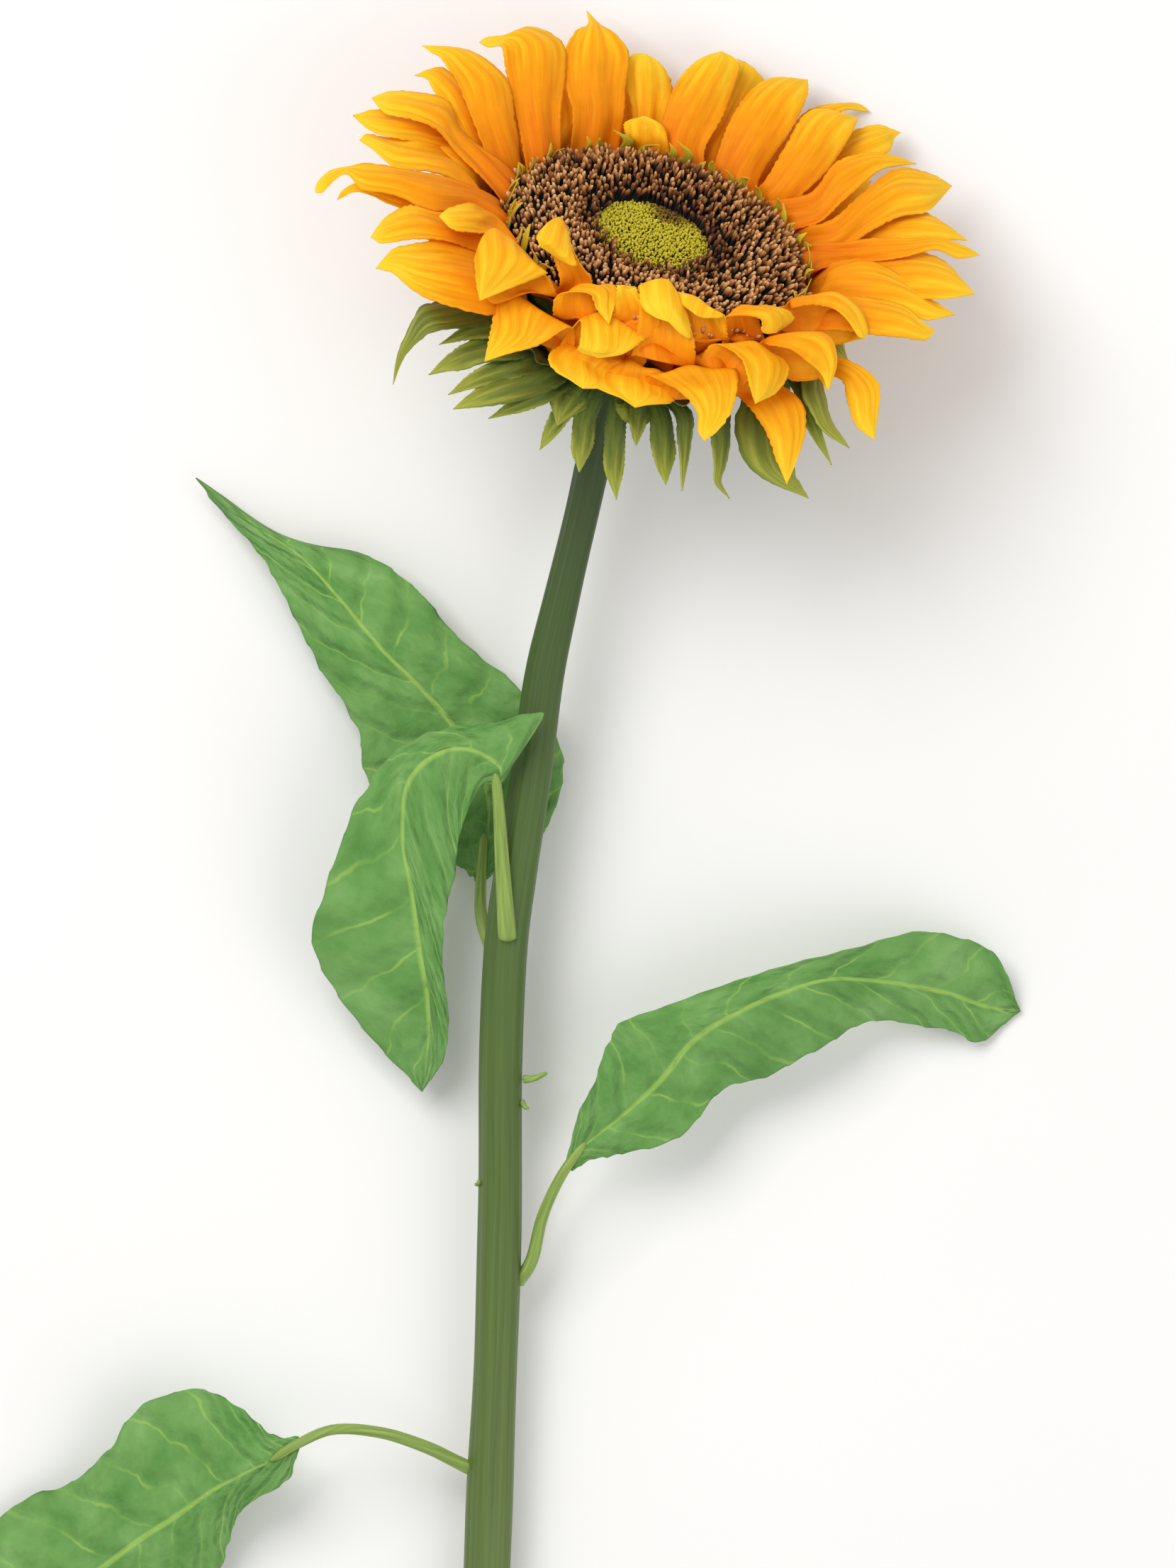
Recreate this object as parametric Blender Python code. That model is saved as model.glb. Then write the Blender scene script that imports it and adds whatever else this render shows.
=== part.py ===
"""A cut sunflower lying on its side: a leafy stem, a nodding head, its petals, bracts and disc.

Run with: blender --background --python part.py

The script works in millimetres in the flower's own frame: x and y are measured on the
surface from the point under the middle of the disc, y runs up the stem towards the head,
and z is the height above the surface. PLACE then puts the middle of the flower's box over
the world's origin. Places on the head are given as (azimuth, radius, height): degrees
round the disc, millimetres out from its axis, and millimetres above its face.
"""

import math
from typing import NamedTuple

import bmesh
import bpy
from mathutils import Matrix, Vector
from mathutils.bvhtree import BVHTree

MM = 0.001

# Where the flower lies: the middle of its box goes over the world's origin.
PLACE = Vector((56, 220, 0))

# The head: how high the middle of the disc lies, how far its face leans from level, and
# how far its level axis is turned clockwise from +X.
HEAD_HEIGHT = 62.0
HEAD_LEAN = 56.0
HEAD_TURN = 18.0

# The disc and the receptacle that carries it, as (radius, height) profiles.
DISC_RADIUS = 41.0
EYE_RADIUS = 16.4
SEAM = 0.3
RING_PROFILE = (
    (EYE_RADIUS + SEAM, -4.0),
    (DISC_RADIUS, -4.0),
    (DISC_RADIUS + 0.6, -1.0),
    (39.0, 2.0),
    (33.0, 4.0),
    (26.0, 4.0),
    (20.0, 2.2),
    (EYE_RADIUS + SEAM, 0.0),
)
EYE_PROFILE = ((0.0, -4.0), (EYE_RADIUS, -4.0), (EYE_RADIUS, -0.5), (11.0, 0.2), (0.0, 0.6))
RECEPTACLE_PROFILE = (
    (0.0, -34.0),
    (6.4, -34.0),
    (12.0, -31.0),
    (25.0, -27.0),
    (35.5, -20.0),
    (39.6, -12.0),
    (40.6, -4.3),
    (0.0, -4.3),
)
LATHE_STEPS = 36

# The stem: its route as (x, y, z, radius) from the head down to the cut end.
STEM_ROUTE = (
    (-8.9, -27.4, 42.4, 5.6),
    (-12.0, -38.0, 35.6, 5.0),
    (-15.6, -52.0, 31.0, 4.9),
    (-20.0, -72.0, 28.2, 4.9),
    (-25.9, -97.0, 26.5, 5.2),
    (-30.5, -118.0, 25.3, 5.5),
    (-34.2, -146.0, 23.6, 5.8),
    (-38.4, -172.0, 21.8, 6.1),
    (-41.0, -192.0, 20.6, 6.2),
    (-42.4, -223.0, 18.6, 6.2),
    (-42.6, -262.0, 16.2, 6.2),
    (-43.6, -300.0, 13.9, 6.3),
    (-45.2, -338.0, 11.8, 6.5),
    (-46.6, -376.0, 10.0, 6.6),
    (-49.0, -430.0, 8.2, 6.7),
    (-52.0, -500.0, 6.8, 6.8),
)
STEM_STEP = 12.0
STEM_SIDES = 14

# Every blade is a thin lens across: two thin edges and this much in the middle.
PETAL_THICK = 0.8
BRACT_THICK = 0.9
LEAF_THICK = 1.0
STALK_THICK = 3.4
CLEARANCE = 0.4

# A petal's outline: its half-width at the root and at the tip as shares of its widest, how
# far along it is widest, how sharply it narrows to its tip, and its cup as a share of its
# half-width.
ROOT_SHARE = 0.42
TIP_SHARE = 0.07
WIDEST_ALONG = 0.58
TIP_SHARPNESS = 2.2
CUP_SHARE = 0.16

# Rows along and points across each blade, and the denser grid that its clearance is tried on.
PETAL_ROWS, BRACT_ROWS, BLADE_LANES = 9, 8, 5
TRIAL_ROWS, TRIAL_LANES = 17, 9
LEAF_LANES = 9
LEAF_ROWS_PER_CONTROL = 2
ROUTE_SAMPLES = 40
STEM_SAMPLES = 20

# The roots and shoulders of the three rings of petals, inner to outer, as (radius, height).
PETAL_ROOTS = ((42.4, -7.0), (42.6, -13.0), (40.6, -21.5))
PETAL_SHOULDERS = ((43.8, -1.0), (46.0, -5.0), (48.4, -10.5))
BRACT_ROOT = (31.0, -27.5)


class Blade(NamedTuple):
    """A petal or a bract: its ring, its root's azimuth, its crest, its tip and its width."""

    ring: int
    root: float
    crest: tuple
    tip: tuple
    width: float
    roll: float = 0.0


# Petals round the head, from the right over the far side to the near side.
PETALS = (
    Blade(2, 1, (0, 66, 6), (0, 83, 8), 17, -8),
    Blade(1, 12, (9, 68, 9), (8, 86, 8), 20, -8),
    Blade(0, 22, (20, 68, 14), (19, 88, 9), 19, -8),
    Blade(1, 38, (36, 68, 13), (37, 89, 11), 22, -8),
    Blade(0, 48, (46, 66, 18), (45, 85, 12), 18, -8),
    Blade(2, 58, (56, 70, 7), (56, 94, 6), 18, -8),
    Blade(0, 66, (63, 66, 17), (60, 82, 12), 17, -8),
    Blade(1, 78, (75, 69, 14), (70, 79, 12), 20, -8),
    Blade(0, 92, (89, 66, 20), (87, 74, 17), 22),
    Blade(2, 106, (105, 68, 9), (106, 79, 6), 20),
    Blade(1, 122, (118, 66, 21), (116, 85, 14), 21, 8),
    Blade(0, 138, (136, 68, 20), (143, 80, 15), 21, 8),
    Blade(1, 152, (154, 68, 19), (157, 86, 15), 20, 8),
    Blade(2, 164, (164, 64, 13), (165, 79, 13), 16, 8),
    Blade(0, 170, (174, 68, 14), (176, 85, 12), 18, 8),
    Blade(2, 182, (181, 68, 9), (181, 88, 9), 19, 8),
    Blade(0, 191, (195, 70, 11), (197, 97, 4), 17, 8),
    Blade(1, 201, (201, 68, 6), (203, 92, 4), 18, 8),
    Blade(0, 210, (210, 66, 8), (213, 86, 2), 17, 8),
    Blade(2, 223, (222, 65, -3), (215, 82, -7), 18, 4),
    Blade(0, 229, (228, 54, 10), (232, 65, 0), 14),
    Blade(2, 242, (243, 62, 2), (243, 73, -13), 18),
    Blade(0, 248, (235, 45, 18), (229, 49, 13), 8),
    Blade(1, 250, (249, 50, 7), (248, 58, 2), 17),
    Blade(2, 263, (264, 52, 3), (259, 65, -1), 18),
    Blade(0, 267, (266, 46, 13), (262, 52, 11), 15),
    Blade(1, 280, (279, 49, 9), (280, 54, 8), 12),
    Blade(2, 288, (291, 63, 4), (291, 77, -11), 21),
    Blade(0, 294, (294, 47, 13), (297, 55, 10), 17),
    Blade(1, 304, (305, 57, 5), (307, 63, -8), 18),
    Blade(0, 314, (314, 50, 14), (319, 59, 9), 17),
    Blade(2, 313, (314, 60, -9), (316, 73, -28), 14),
    Blade(1, 320, (318, 57, 11), (323, 71, 0), 18),
    Blade(2, 329, (328, 67, 3), (328, 85, -11), 17),
    Blade(0, 338, (339, 52, 12), (338, 68, 7), 20),
    Blade(1, 352, (354, 64, 8), (355, 80, 4), 18),
)

# Bracts under the petals, from the far right round to the near right.
BRACTS = (
    Blade(3, 30, (30, 54, -19), (30, 66, -20), 13),
    Blade(3, 75, (75, 53, -19), (75, 62, -20), 13),
    Blade(3, 120, (120, 53, -19), (120, 62, -20), 13),
    Blade(3, 165, (165, 54, -19), (165, 66, -21), 13),
    Blade(3, 205, (218, 64, -18), (219, 76, -38), 11),
    Blade(3, 220, (223, 52, -22), (222, 63, -27), 11),
    Blade(3, 229, (229, 52, -26), (227, 64, -36), 11),
    Blade(3, 244, (241, 50, -27), (234, 64, -40), 14),
    Blade(3, 254, (252, 45, -33), (245, 52, -46), 8),
    Blade(3, 262, (260, 45, -31), (254, 48, -46), 9),
    Blade(3, 272, (272, 43, -32), (270, 46, -49), 9),
    Blade(3, 283, (283, 44, -31), (282, 51, -50), 10),
    Blade(3, 295, (296, 45, -30), (297, 51, -45), 10),
    Blade(3, 307, (309, 47, -28), (312, 60, -43), 10),
    Blade(3, 320, (320, 54, -24), (325, 73, -37), 18),
    Blade(3, 337, (334, 58, -19), (332, 74, -26), 13),
)


class Leaf(NamedTuple):
    """A leaf: its stalk's route, then rows across its blade as (one edge, midrib, other edge)."""

    stalk: tuple
    rows: tuple
    tip: tuple


LEAVES = {
    "upper_leaf": Leaf(
        stalk=((-47.6, -187, 14.0), (-48, -176, 12.2), (-47, -165, 11.2)),
        rows=(
            ((-53, -172, 9), (-46, -158, 11.5), (-33, -163, 11)),
            ((-68, -162, 8), (-47, -146, 12), (-26, -148, 11)),
            ((-79, -146, 8), (-54, -133, 13), (-27, -134, 12)),
            ((-82, -131, 9), (-63, -122, 14), (-38, -120, 12)),
            ((-92, -115, 10), (-75, -110, 15), (-53, -108, 12)),
            ((-100, -99, 10), (-86, -97, 14.5), (-66, -93, 12)),
            ((-107, -86, 9), (-97, -85, 13), (-80, -84, 11)),
            ((-117, -74, 8), (-111, -75, 11), (-101, -79, 9)),
        ),
        tip=(-126, -63, 8),
    ),
    "middle_leaf": Leaf(
        stalk=((-40.5, -188, 29.3), (-42, -170, 31), (-43, -154, 34)),
        rows=(
            ((-48, -147, 34), (-43, -142, 37), (-31, -128, 38)),
            ((-52, -155, 34), (-52, -137, 39), (-45, -130, 38)),
            ((-54, -163, 34), (-61, -139, 40), (-59, -132, 38)),
            ((-55, -171, 33), (-68, -147, 39), (-72, -139, 36)),
            ((-57, -180, 31), (-69, -162, 36), (-82, -153, 32)),
            ((-58, -190, 29), (-66, -178, 33), (-89, -172, 27)),
            ((-58, -201, 26), (-64, -192, 29), (-94, -189, 22)),
            ((-57, -212, 22), (-62, -205, 24), (-88, -203, 17)),
            ((-58, -222, 17), (-62, -217, 18), (-77, -217, 13)),
        ),
        tip=(-64, -231, 11),
    ),
    "right_leaf": Leaf(
        stalk=((-33.6, -279, 15), (-31, -265, 19), (-26, -254, 23)),
        rows=(
            ((-22, -237, 27), (-20, -246, 25), (-16, -249, 24)),
            ((-17, -228, 29), (-10, -238, 24), (-8, -248, 22)),
            ((-13, -217, 30), (1, -228, 26), (7, -242, 20)),
            ((-9, -211, 30), (10, -217, 28), (17, -231, 20)),
            ((6, -207, 30), (20, -210, 29), (30, -227, 19)),
            ((24, -200, 29), (33, -204, 28), (43, -220, 18)),
            ((42, -194, 26), (47, -200, 25), (54, -213, 16)),
            ((62, -189, 21), (63, -201, 19), (66, -212, 12)),
            ((80, -188, 15), (79, -204, 12), (79, -214, 7)),
            ((93, -194, 8), (91, -208, 5), (89, -217, 2.5)),
        ),
        tip=(100, -209, 1.2),
    ),
    "lower_leaf": Leaf(
        stalk=((-54.6, -333, 11.5), (-63, -328, 17), (-75, -324, 22), (-88, -323, 25), (-97, -327, 25)),
        rows=(
            ((-101, -337, 20), (-104, -331, 24), (-105, -325, 23)),
            ((-112, -344, 17), (-112, -335, 22), (-113, -318, 22)),
            ((-116, -351, 14), (-121, -340, 19), (-124, -312, 20)),
            ((-119, -361, 11), (-131, -347, 17), (-140, -316, 17)),
            ((-124, -372, 8), (-142, -354, 15), (-150, -329, 13)),
            ((-133, -383, 6), (-154, -363, 12), (-160, -338, 10)),
            ((-147, -392, 4), (-167, -372, 9), (-175, -344, 7)),
            ((-164, -398, 3), (-180, -380, 6), (-188, -357, 5)),
            ((-184, -401, 2), (-194, -389, 3.5), (-199, -373, 3)),
        ),
        tip=(-211, -398, 1.2),
    ),
}


class Finish(NamedTuple):
    """A Principled surface: linear RGB colour and roughness."""

    name: str
    colour: tuple
    roughness: float


PETAL_YELLOW = Finish("petal_yellow", (0.93, 0.56, 0.02), 0.6)
BRACT_GREEN = Finish("bract_green", (0.10, 0.17, 0.02), 0.65)
LEAF_GREEN = Finish("leaf_green", (0.14, 0.38, 0.10), 0.6)
STEM_GREEN = Finish("stem_green", (0.19, 0.24, 0.05), 0.5)
FLORET_BROWN = Finish("floret_brown", (0.15, 0.07, 0.03), 0.9)
EYE_GREEN = Finish("eye_green", (0.32, 0.33, 0.02), 0.85)


def head_axes():
    """The disc's level axis, its other axis and its normal, as unit vectors."""
    turn = math.radians(HEAD_TURN)
    lean = math.radians(HEAD_LEAN)
    level = Vector((math.cos(turn), -math.sin(turn), 0))
    uphill = Vector((math.sin(turn), math.cos(turn), 0))
    up = Vector((0, 0, 1))
    normal = uphill * math.sin(lean) + up * math.cos(lean)
    return level, normal.cross(level), normal


def head_matrix():
    """Takes the head's own frame, with z out of the disc's face, to the flower's frame."""
    level, other, normal = head_axes()
    turn = Matrix((level, other, normal)).transposed().to_4x4()
    return Matrix.Translation((0, 0, HEAD_HEIGHT)) @ turn


def on_head(azimuth, radius, height):
    """A place on the head, in the head's own frame."""
    angle = math.radians(azimuth)
    return Vector((radius * math.cos(angle), radius * math.sin(angle), height))


def smooth_between(before, start, end, after, share):
    """A Catmull-Rom curve from start to end, at this share of the way."""
    squared = share * share
    cubed = squared * share
    return 0.5 * (
        2 * start
        + (end - before) * share
        + (2 * before - 5 * start + 4 * end - after) * squared
        + (3 * start - before - 3 * end + after) * cubed
    )


def smooth_route(points, count):
    """So many points along a smooth curve through the given ones, evenly by control point."""
    extended = [2 * points[0] - points[1], *points, 2 * points[-1] - points[-2]]
    spans = len(points) - 1
    route = []
    for index in range(count):
        along = index * spans / (count - 1)
        span = min(int(along), spans - 1)
        route.append(smooth_between(*extended[span : span + 4], along - span))
    return route


def evenly_spaced(route, count):
    """So many points along a route, at even distances."""
    lengths = [0.0]
    for one, other in zip(route, route[1:]):
        lengths.append(lengths[-1] + (other - one).length)
    spaced = []
    span = 0
    for index in range(count):
        wanted = lengths[-1] * index / (count - 1)
        while span < len(route) - 2 and lengths[span + 1] < wanted:
            span += 1
        share = (wanted - lengths[span]) / (lengths[span + 1] - lengths[span])
        spaced.append(route[span].lerp(route[span + 1], min(share, 1.0)))
    return spaced


def tangents_of(route):
    """The unit direction of a route at each of its points."""
    last = len(route) - 1
    steps = [route[min(i + 1, last)] - route[max(i - 1, 0)] for i in range(last + 1)]
    return [step.normalized() for step in steps]


def blade_share(along):
    """A petal's half-width as a share of its widest, from its root (0) to its tip (1)."""
    if along < WIDEST_ALONG:
        return ROOT_SHARE + (1 - ROOT_SHARE) * math.sin(along / WIDEST_ALONG * math.pi / 2)
    narrowing = ((along - WIDEST_ALONG) / (1 - WIDEST_ALONG)) ** TIP_SHARPNESS
    return max(TIP_SHARE, 1 - narrowing)


def blade_route(blade, count):
    """A petal's or bract's centreline: from its root over its shoulder and crest to its tip."""
    if blade.ring < len(PETAL_ROOTS):
        radius, height = PETAL_SHOULDERS[blade.ring]
        root = on_head(blade.root, *PETAL_ROOTS[blade.ring])
        points = [root, on_head(blade.root, radius, height)]
    else:
        points = [on_head(blade.root, *BRACT_ROOT)]
    points += [on_head(*blade.crest), on_head(*blade.tip)]
    return evenly_spaced(smooth_route(points, ROUTE_SAMPLES), count)


def blade_grid(blade, stations, lanes):
    """Rows of points across a blade, each row from one edge to the other, with its normals."""
    route = blade_route(blade, stations)
    rows = []
    for index, (centre, tangent) in enumerate(zip(route, tangents_of(route))):
        around = Vector((-centre.y, centre.x, 0)).normalized()
        across = (around - tangent * around.dot(tangent)).normalized()
        across = Matrix.Rotation(math.radians(blade.roll), 3, tangent) @ across
        normal = across.cross(tangent)
        half = blade.width / 2 * blade_share(index / (stations - 1))
        cup = CUP_SHARE * half
        row = []
        for lane in range(lanes):
            side = 2 * lane / (lanes - 1) - 1
            row.append((centre + across * half * side + normal * cup * side * side, normal))
        rows.append(row)
    return rows


def lens_mesh(name, rows, thicknesses):
    """A closed solid round a grid of (point, normal): full in the middle, thin at both edges."""
    mesh = bmesh.new()
    lanes = len(rows[0])
    loops = []
    for row, thick in zip(rows, thicknesses):
        upper, lower = [], []
        for lane, (point, normal) in enumerate(row):
            side = 2 * lane / (lanes - 1) - 1
            bulge = normal * thick / 2 * math.sqrt(max(0.0, 1 - side * side))
            upper.append(mesh.verts.new(point + bulge))
            if 0 < lane < lanes - 1:
                lower.append(mesh.verts.new(point - bulge))
        loops.append(upper + lower[::-1])
    for one, other in zip(loops, loops[1:]):
        for index in range(len(one)):
            after = (index + 1) % len(one)
            mesh.faces.new((one[index], one[after], other[after], other[index]))
    mesh.faces.new(loops[0][::-1])
    mesh.faces.new(loops[-1])
    bmesh.ops.recalc_face_normals(mesh, faces=mesh.faces)
    return mesh_data(name, mesh)


def mesh_data(name, mesh):
    """Turns a bmesh into mesh data."""
    data = bpy.data.meshes.new(name)
    mesh.to_mesh(data)
    mesh.free()
    return data


def lathe(name, profile):
    """A closed turned solid from a profile of (radius, height), about the head's axis."""
    mesh = bmesh.new()
    verts = [mesh.verts.new((radius, 0, height)) for radius, height in profile]
    edges = [mesh.edges.new(pair) for pair in zip(verts, verts[1:])]
    if profile[0][0] > 0:
        edges.append(mesh.edges.new((verts[-1], verts[0])))
    bmesh.ops.spin(
        mesh,
        geom=verts + edges,
        axis=(0, 0, 1),
        cent=(0, 0, 0),
        steps=LATHE_STEPS,
        angle=2 * math.pi,
        use_merge=True,
    )
    bmesh.ops.remove_doubles(mesh, verts=mesh.verts, dist=0.001)
    bmesh.ops.recalc_face_normals(mesh, faces=mesh.faces)
    return mesh_data(name, mesh)


def stem_mesh(name):
    """The stem: rings of points along its route, skinned and capped."""
    controls = [Vector(point) for point in STEM_ROUTE]
    length = sum((b - a).length for a, b in zip(controls, controls[1:]))
    count = round(length / STEM_STEP)
    route = evenly_spaced(smooth_route(controls, STEM_SAMPLES * count), count)
    centres = [point.to_3d() for point in route]
    mesh = bmesh.new()
    rings = []
    for centre, tangent, point in zip(centres, tangents_of(centres), route):
        side = Vector((1, 0, 0)).cross(tangent).normalized()
        up = tangent.cross(side)
        ring = []
        for index in range(STEM_SIDES):
            angle = 2 * math.pi * index / STEM_SIDES
            offset = side * math.cos(angle) + up * math.sin(angle)
            ring.append(mesh.verts.new(centre + offset * point[3]))
        rings.append(ring)
    for one, other in zip(rings, rings[1:]):
        for index in range(STEM_SIDES):
            after = (index + 1) % STEM_SIDES
            mesh.faces.new((one[index], one[after], other[after], other[index]))
    mesh.faces.new(rings[0][::-1])
    mesh.faces.new(rings[-1])
    bmesh.ops.recalc_face_normals(mesh, faces=mesh.faces)
    return mesh_data(name, mesh)


def leaf_rows(leaf):
    """A leaf's rows as (edge, midrib, edge) vectors: narrow ones up the stalk, then the blade."""
    half = STALK_THICK / 2
    stalk = [Vector(point) for point in leaf.stalk]
    rows = []
    for point, tangent in zip(stalk, tangents_of(stalk)):
        across = tangent.cross(Vector((0, 0, 1))).normalized() * half
        rows.append((point - across, point, point + across))
    rows += [tuple(Vector(point) for point in row) for row in leaf.rows]
    tip = Vector(leaf.tip)
    side = (rows[-1][2] - rows[-1][0]).normalized()
    rows.append((tip - side, tip, tip + side))
    return rows


def leaf_mesh(name, leaf):
    """A leaf with its stalk as one solid."""
    rows = leaf_rows(leaf)
    count = (len(rows) - 1) * LEAF_ROWS_PER_CONTROL + 1
    edges = [smooth_route([row[index] for row in rows], count) for index in range(3)]
    grid = []
    thicknesses = []
    stalk_rows = len(leaf.stalk) * LEAF_ROWS_PER_CONTROL
    for index, (left, rib, right) in enumerate(zip(*edges)):
        along = edges[1][min(index + 1, count - 1)] - edges[1][max(index - 1, 0)]
        normal = (right - left).cross(along).normalized()
        row = []
        for lane in range(LEAF_LANES):
            side = 2 * lane / (LEAF_LANES - 1) - 1
            end = left if side < 0 else right
            row.append((rib.lerp(end, abs(side)), normal))
        grid.append(row)
        fade = min(max((index - stalk_rows + 2) / 3, 0.0), 1.0)
        thicknesses.append(STALK_THICK + (LEAF_THICK - STALK_THICK) * fade)
    return lens_mesh(name, grid, thicknesses)


def tree_of(points_rows):
    """A search tree of the surface through a grid of points."""
    lanes = len(points_rows[0])
    points = [point for row in points_rows for point in row]
    faces = []
    for start in range(0, len(points) - lanes, lanes):
        for lane in range(start, start + lanes - 1):
            faces.append((lane, lane + 1, lane + lanes + 1, lane + lanes))
    return BVHTree.FromPolygons(points, faces), points


def touches(mine, others, gap):
    """Whether a surface comes within the gap of any of the others."""
    tree, points = mine
    for other_tree, other_points in others:
        if tree.overlap(other_tree):
            return True
        if any(other_tree.find_nearest(point, gap)[0] for point in points):
            return True
        if any(tree.find_nearest(point, gap)[0] for point in other_points):
            return True
    return False


def eased(blade, placed, gap):
    """The blade, moved a little up, down or round, or narrowed, until it touches no other."""
    for width in (1.0, 0.85, 0.7, 0.55, 0.4):
        for lift in (0, 2, -2, 4, -4, 6, -6, -9, -12):
            for roll in (0, 10, -10, 20, -20):
                azimuth, radius, height = blade.crest
                tip_azimuth, tip_radius, tip_height = blade.tip
                tried = blade._replace(
                    width=blade.width * width,
                    roll=blade.roll + roll,
                    crest=(azimuth, radius, height + lift),
                    tip=(tip_azimuth, tip_radius, tip_height + 1.5 * lift),
                )
                grid = blade_grid(tried, TRIAL_ROWS, TRIAL_LANES)
                surface = tree_of([[point for point, _ in row] for row in grid])
                if not touches(surface, placed, gap):
                    placed.append(surface)
                    return tried
    raise ValueError(f"no room for {blade}")


def material_of(finish):
    """A Principled material with this finish, made once."""
    material = bpy.data.materials.get(finish.name)
    if material is None:
        material = bpy.data.materials.new(finish.name)
        material.use_nodes = True
        surface = material.node_tree.nodes["Principled BSDF"]
        surface.inputs["Base Color"].default_value = (*finish.colour, 1)
        surface.inputs["Roughness"].default_value = finish.roughness
        surface.inputs["Metallic"].default_value = 0.0
        material.diffuse_color = (*finish.colour, 1)
    return material


def add_object(name, data, finish, parent):
    """Puts mesh data in the scene under its parent, in its finish."""
    made = bpy.data.objects.new(name, data)
    made.data.materials.append(material_of(finish))
    made.parent = parent
    bpy.context.scene.collection.objects.link(made)
    return made


def add_empty(name, matrix):
    """An empty that carries parts by its own matrix."""
    empty = bpy.data.objects.new(name, None)
    empty.matrix_world = matrix
    bpy.context.scene.collection.objects.link(empty)
    return empty


def add_head(frame):
    """The receptacle, the disc and every petal and bract, in the head's own frame."""
    add_object("receptacle", lathe("receptacle", RECEPTACLE_PROFILE), BRACT_GREEN, frame)
    add_object("disc_florets", lathe("disc_florets", RING_PROFILE), FLORET_BROWN, frame)
    add_object("disc_eye", lathe("disc_eye", EYE_PROFILE), EYE_GREEN, frame)
    placed = []
    petals = {}
    for ring in range(len(PETAL_ROOTS)):
        for number, blade in enumerate(PETALS, 1):
            if blade.ring == ring:
                petals[number] = eased(blade, placed, PETAL_THICK + CLEARANCE)
    for number, blade in sorted(petals.items()):
        name = f"ray_petal_{number:02d}"
        grid = blade_grid(blade, PETAL_ROWS, BLADE_LANES)
        solid = lens_mesh(name, grid, [PETAL_THICK] * PETAL_ROWS)
        add_object(name, solid, PETAL_YELLOW, frame)
    for number, blade in enumerate(BRACTS, 1):
        name = f"bract_{number:02d}"
        fitted = eased(blade, placed, BRACT_THICK + CLEARANCE)
        grid = blade_grid(fitted, BRACT_ROWS, BLADE_LANES)
        solid = lens_mesh(name, grid, [BRACT_THICK] * BRACT_ROWS)
        add_object(name, solid, BRACT_GREEN, frame)


def main():
    """Clears the scene and builds the flower where it lies."""
    for old in list(bpy.data.objects):
        bpy.data.objects.remove(old)
    to_metres = Matrix.Scale(MM, 4) @ Matrix.Translation(PLACE)
    flower = add_empty("flower", to_metres)
    head = add_empty("head", to_metres @ head_matrix())
    add_object("main_stem", stem_mesh("main_stem"), STEM_GREEN, flower)
    for name, leaf in LEAVES.items():
        add_object(name, leaf_mesh(name, leaf), LEAF_GREEN, flower)
    add_head(head)


main()
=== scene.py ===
"""The finished cut sunflower, lying on a pale table under soft light.

Every piece of cloth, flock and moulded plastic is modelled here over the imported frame. The
shapes are worked out in millimetres in the flower's own frame, whose origin lies on the
table under the middle of the disc, and are put in their places in metres. Places on the
head are given as (azimuth, radius, height): degrees round the disc, millimetres out from
its axis and millimetres above its face.
"""

import logging
import math
import random
from dataclasses import dataclass, field
from enum import Enum
from typing import Any, Callable, Optional, Sequence

import bpy
import numpy as np
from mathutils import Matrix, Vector


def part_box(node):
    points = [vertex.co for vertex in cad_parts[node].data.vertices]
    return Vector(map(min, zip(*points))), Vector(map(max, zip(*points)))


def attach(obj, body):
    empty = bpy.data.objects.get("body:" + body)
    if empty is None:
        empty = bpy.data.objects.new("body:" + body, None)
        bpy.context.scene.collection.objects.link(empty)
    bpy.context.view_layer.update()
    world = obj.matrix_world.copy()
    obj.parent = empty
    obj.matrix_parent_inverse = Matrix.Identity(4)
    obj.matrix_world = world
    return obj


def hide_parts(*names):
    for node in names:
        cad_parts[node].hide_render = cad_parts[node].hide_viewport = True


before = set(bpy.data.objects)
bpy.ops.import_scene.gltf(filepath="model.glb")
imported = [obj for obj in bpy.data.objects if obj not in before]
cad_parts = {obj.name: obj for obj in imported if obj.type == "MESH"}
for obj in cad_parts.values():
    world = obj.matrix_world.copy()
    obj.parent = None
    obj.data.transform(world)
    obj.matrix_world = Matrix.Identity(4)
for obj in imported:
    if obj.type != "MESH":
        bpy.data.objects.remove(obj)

LOG = logging.getLogger("sunflower")

MM = 0.001
GOLDEN_ANGLE = math.radians(137.508)
Place = tuple[float, float, float]
Colour = tuple[float, float, float, float]
Array = np.ndarray

# ---------------------------------------------------------------------------
# The head's frame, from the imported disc
# ---------------------------------------------------------------------------

HEAD_LEAN = math.radians(56.0)
HEAD_TURN = math.radians(18.0)


def middle_of(node: str) -> Array:
    """The middle of a CAD node's box, in millimetres.

    Args:
        node: The CAD node's name.

    Returns:
        The middle point.
    """
    low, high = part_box(node)
    return (np.array(low) + np.array(high)) / 2 / MM


HEAD_MIDDLE = middle_of("disc_florets")
FLOWER_ORIGIN = np.array((HEAD_MIDDLE[0], HEAD_MIDDLE[1], 0.0))
LEVEL = np.array((math.cos(HEAD_TURN), -math.sin(HEAD_TURN), 0.0))
UPHILL = np.array((math.sin(HEAD_TURN), math.cos(HEAD_TURN), 0.0))
NORMAL = UPHILL * math.sin(HEAD_LEAN) + np.array((0.0, 0.0, math.cos(HEAD_LEAN)))
HEAD_TURNED = np.array((LEVEL, np.cross(NORMAL, LEVEL), NORMAL))


def from_head(points: Array) -> Array:
    """Takes points in the head's own frame to the world.

    Args:
        points: Rows of (x, y, z) in millimetres, z out of the disc's face.

    Returns:
        The same points in metres.
    """
    return (points @ HEAD_TURNED + HEAD_MIDDLE) * MM


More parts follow.
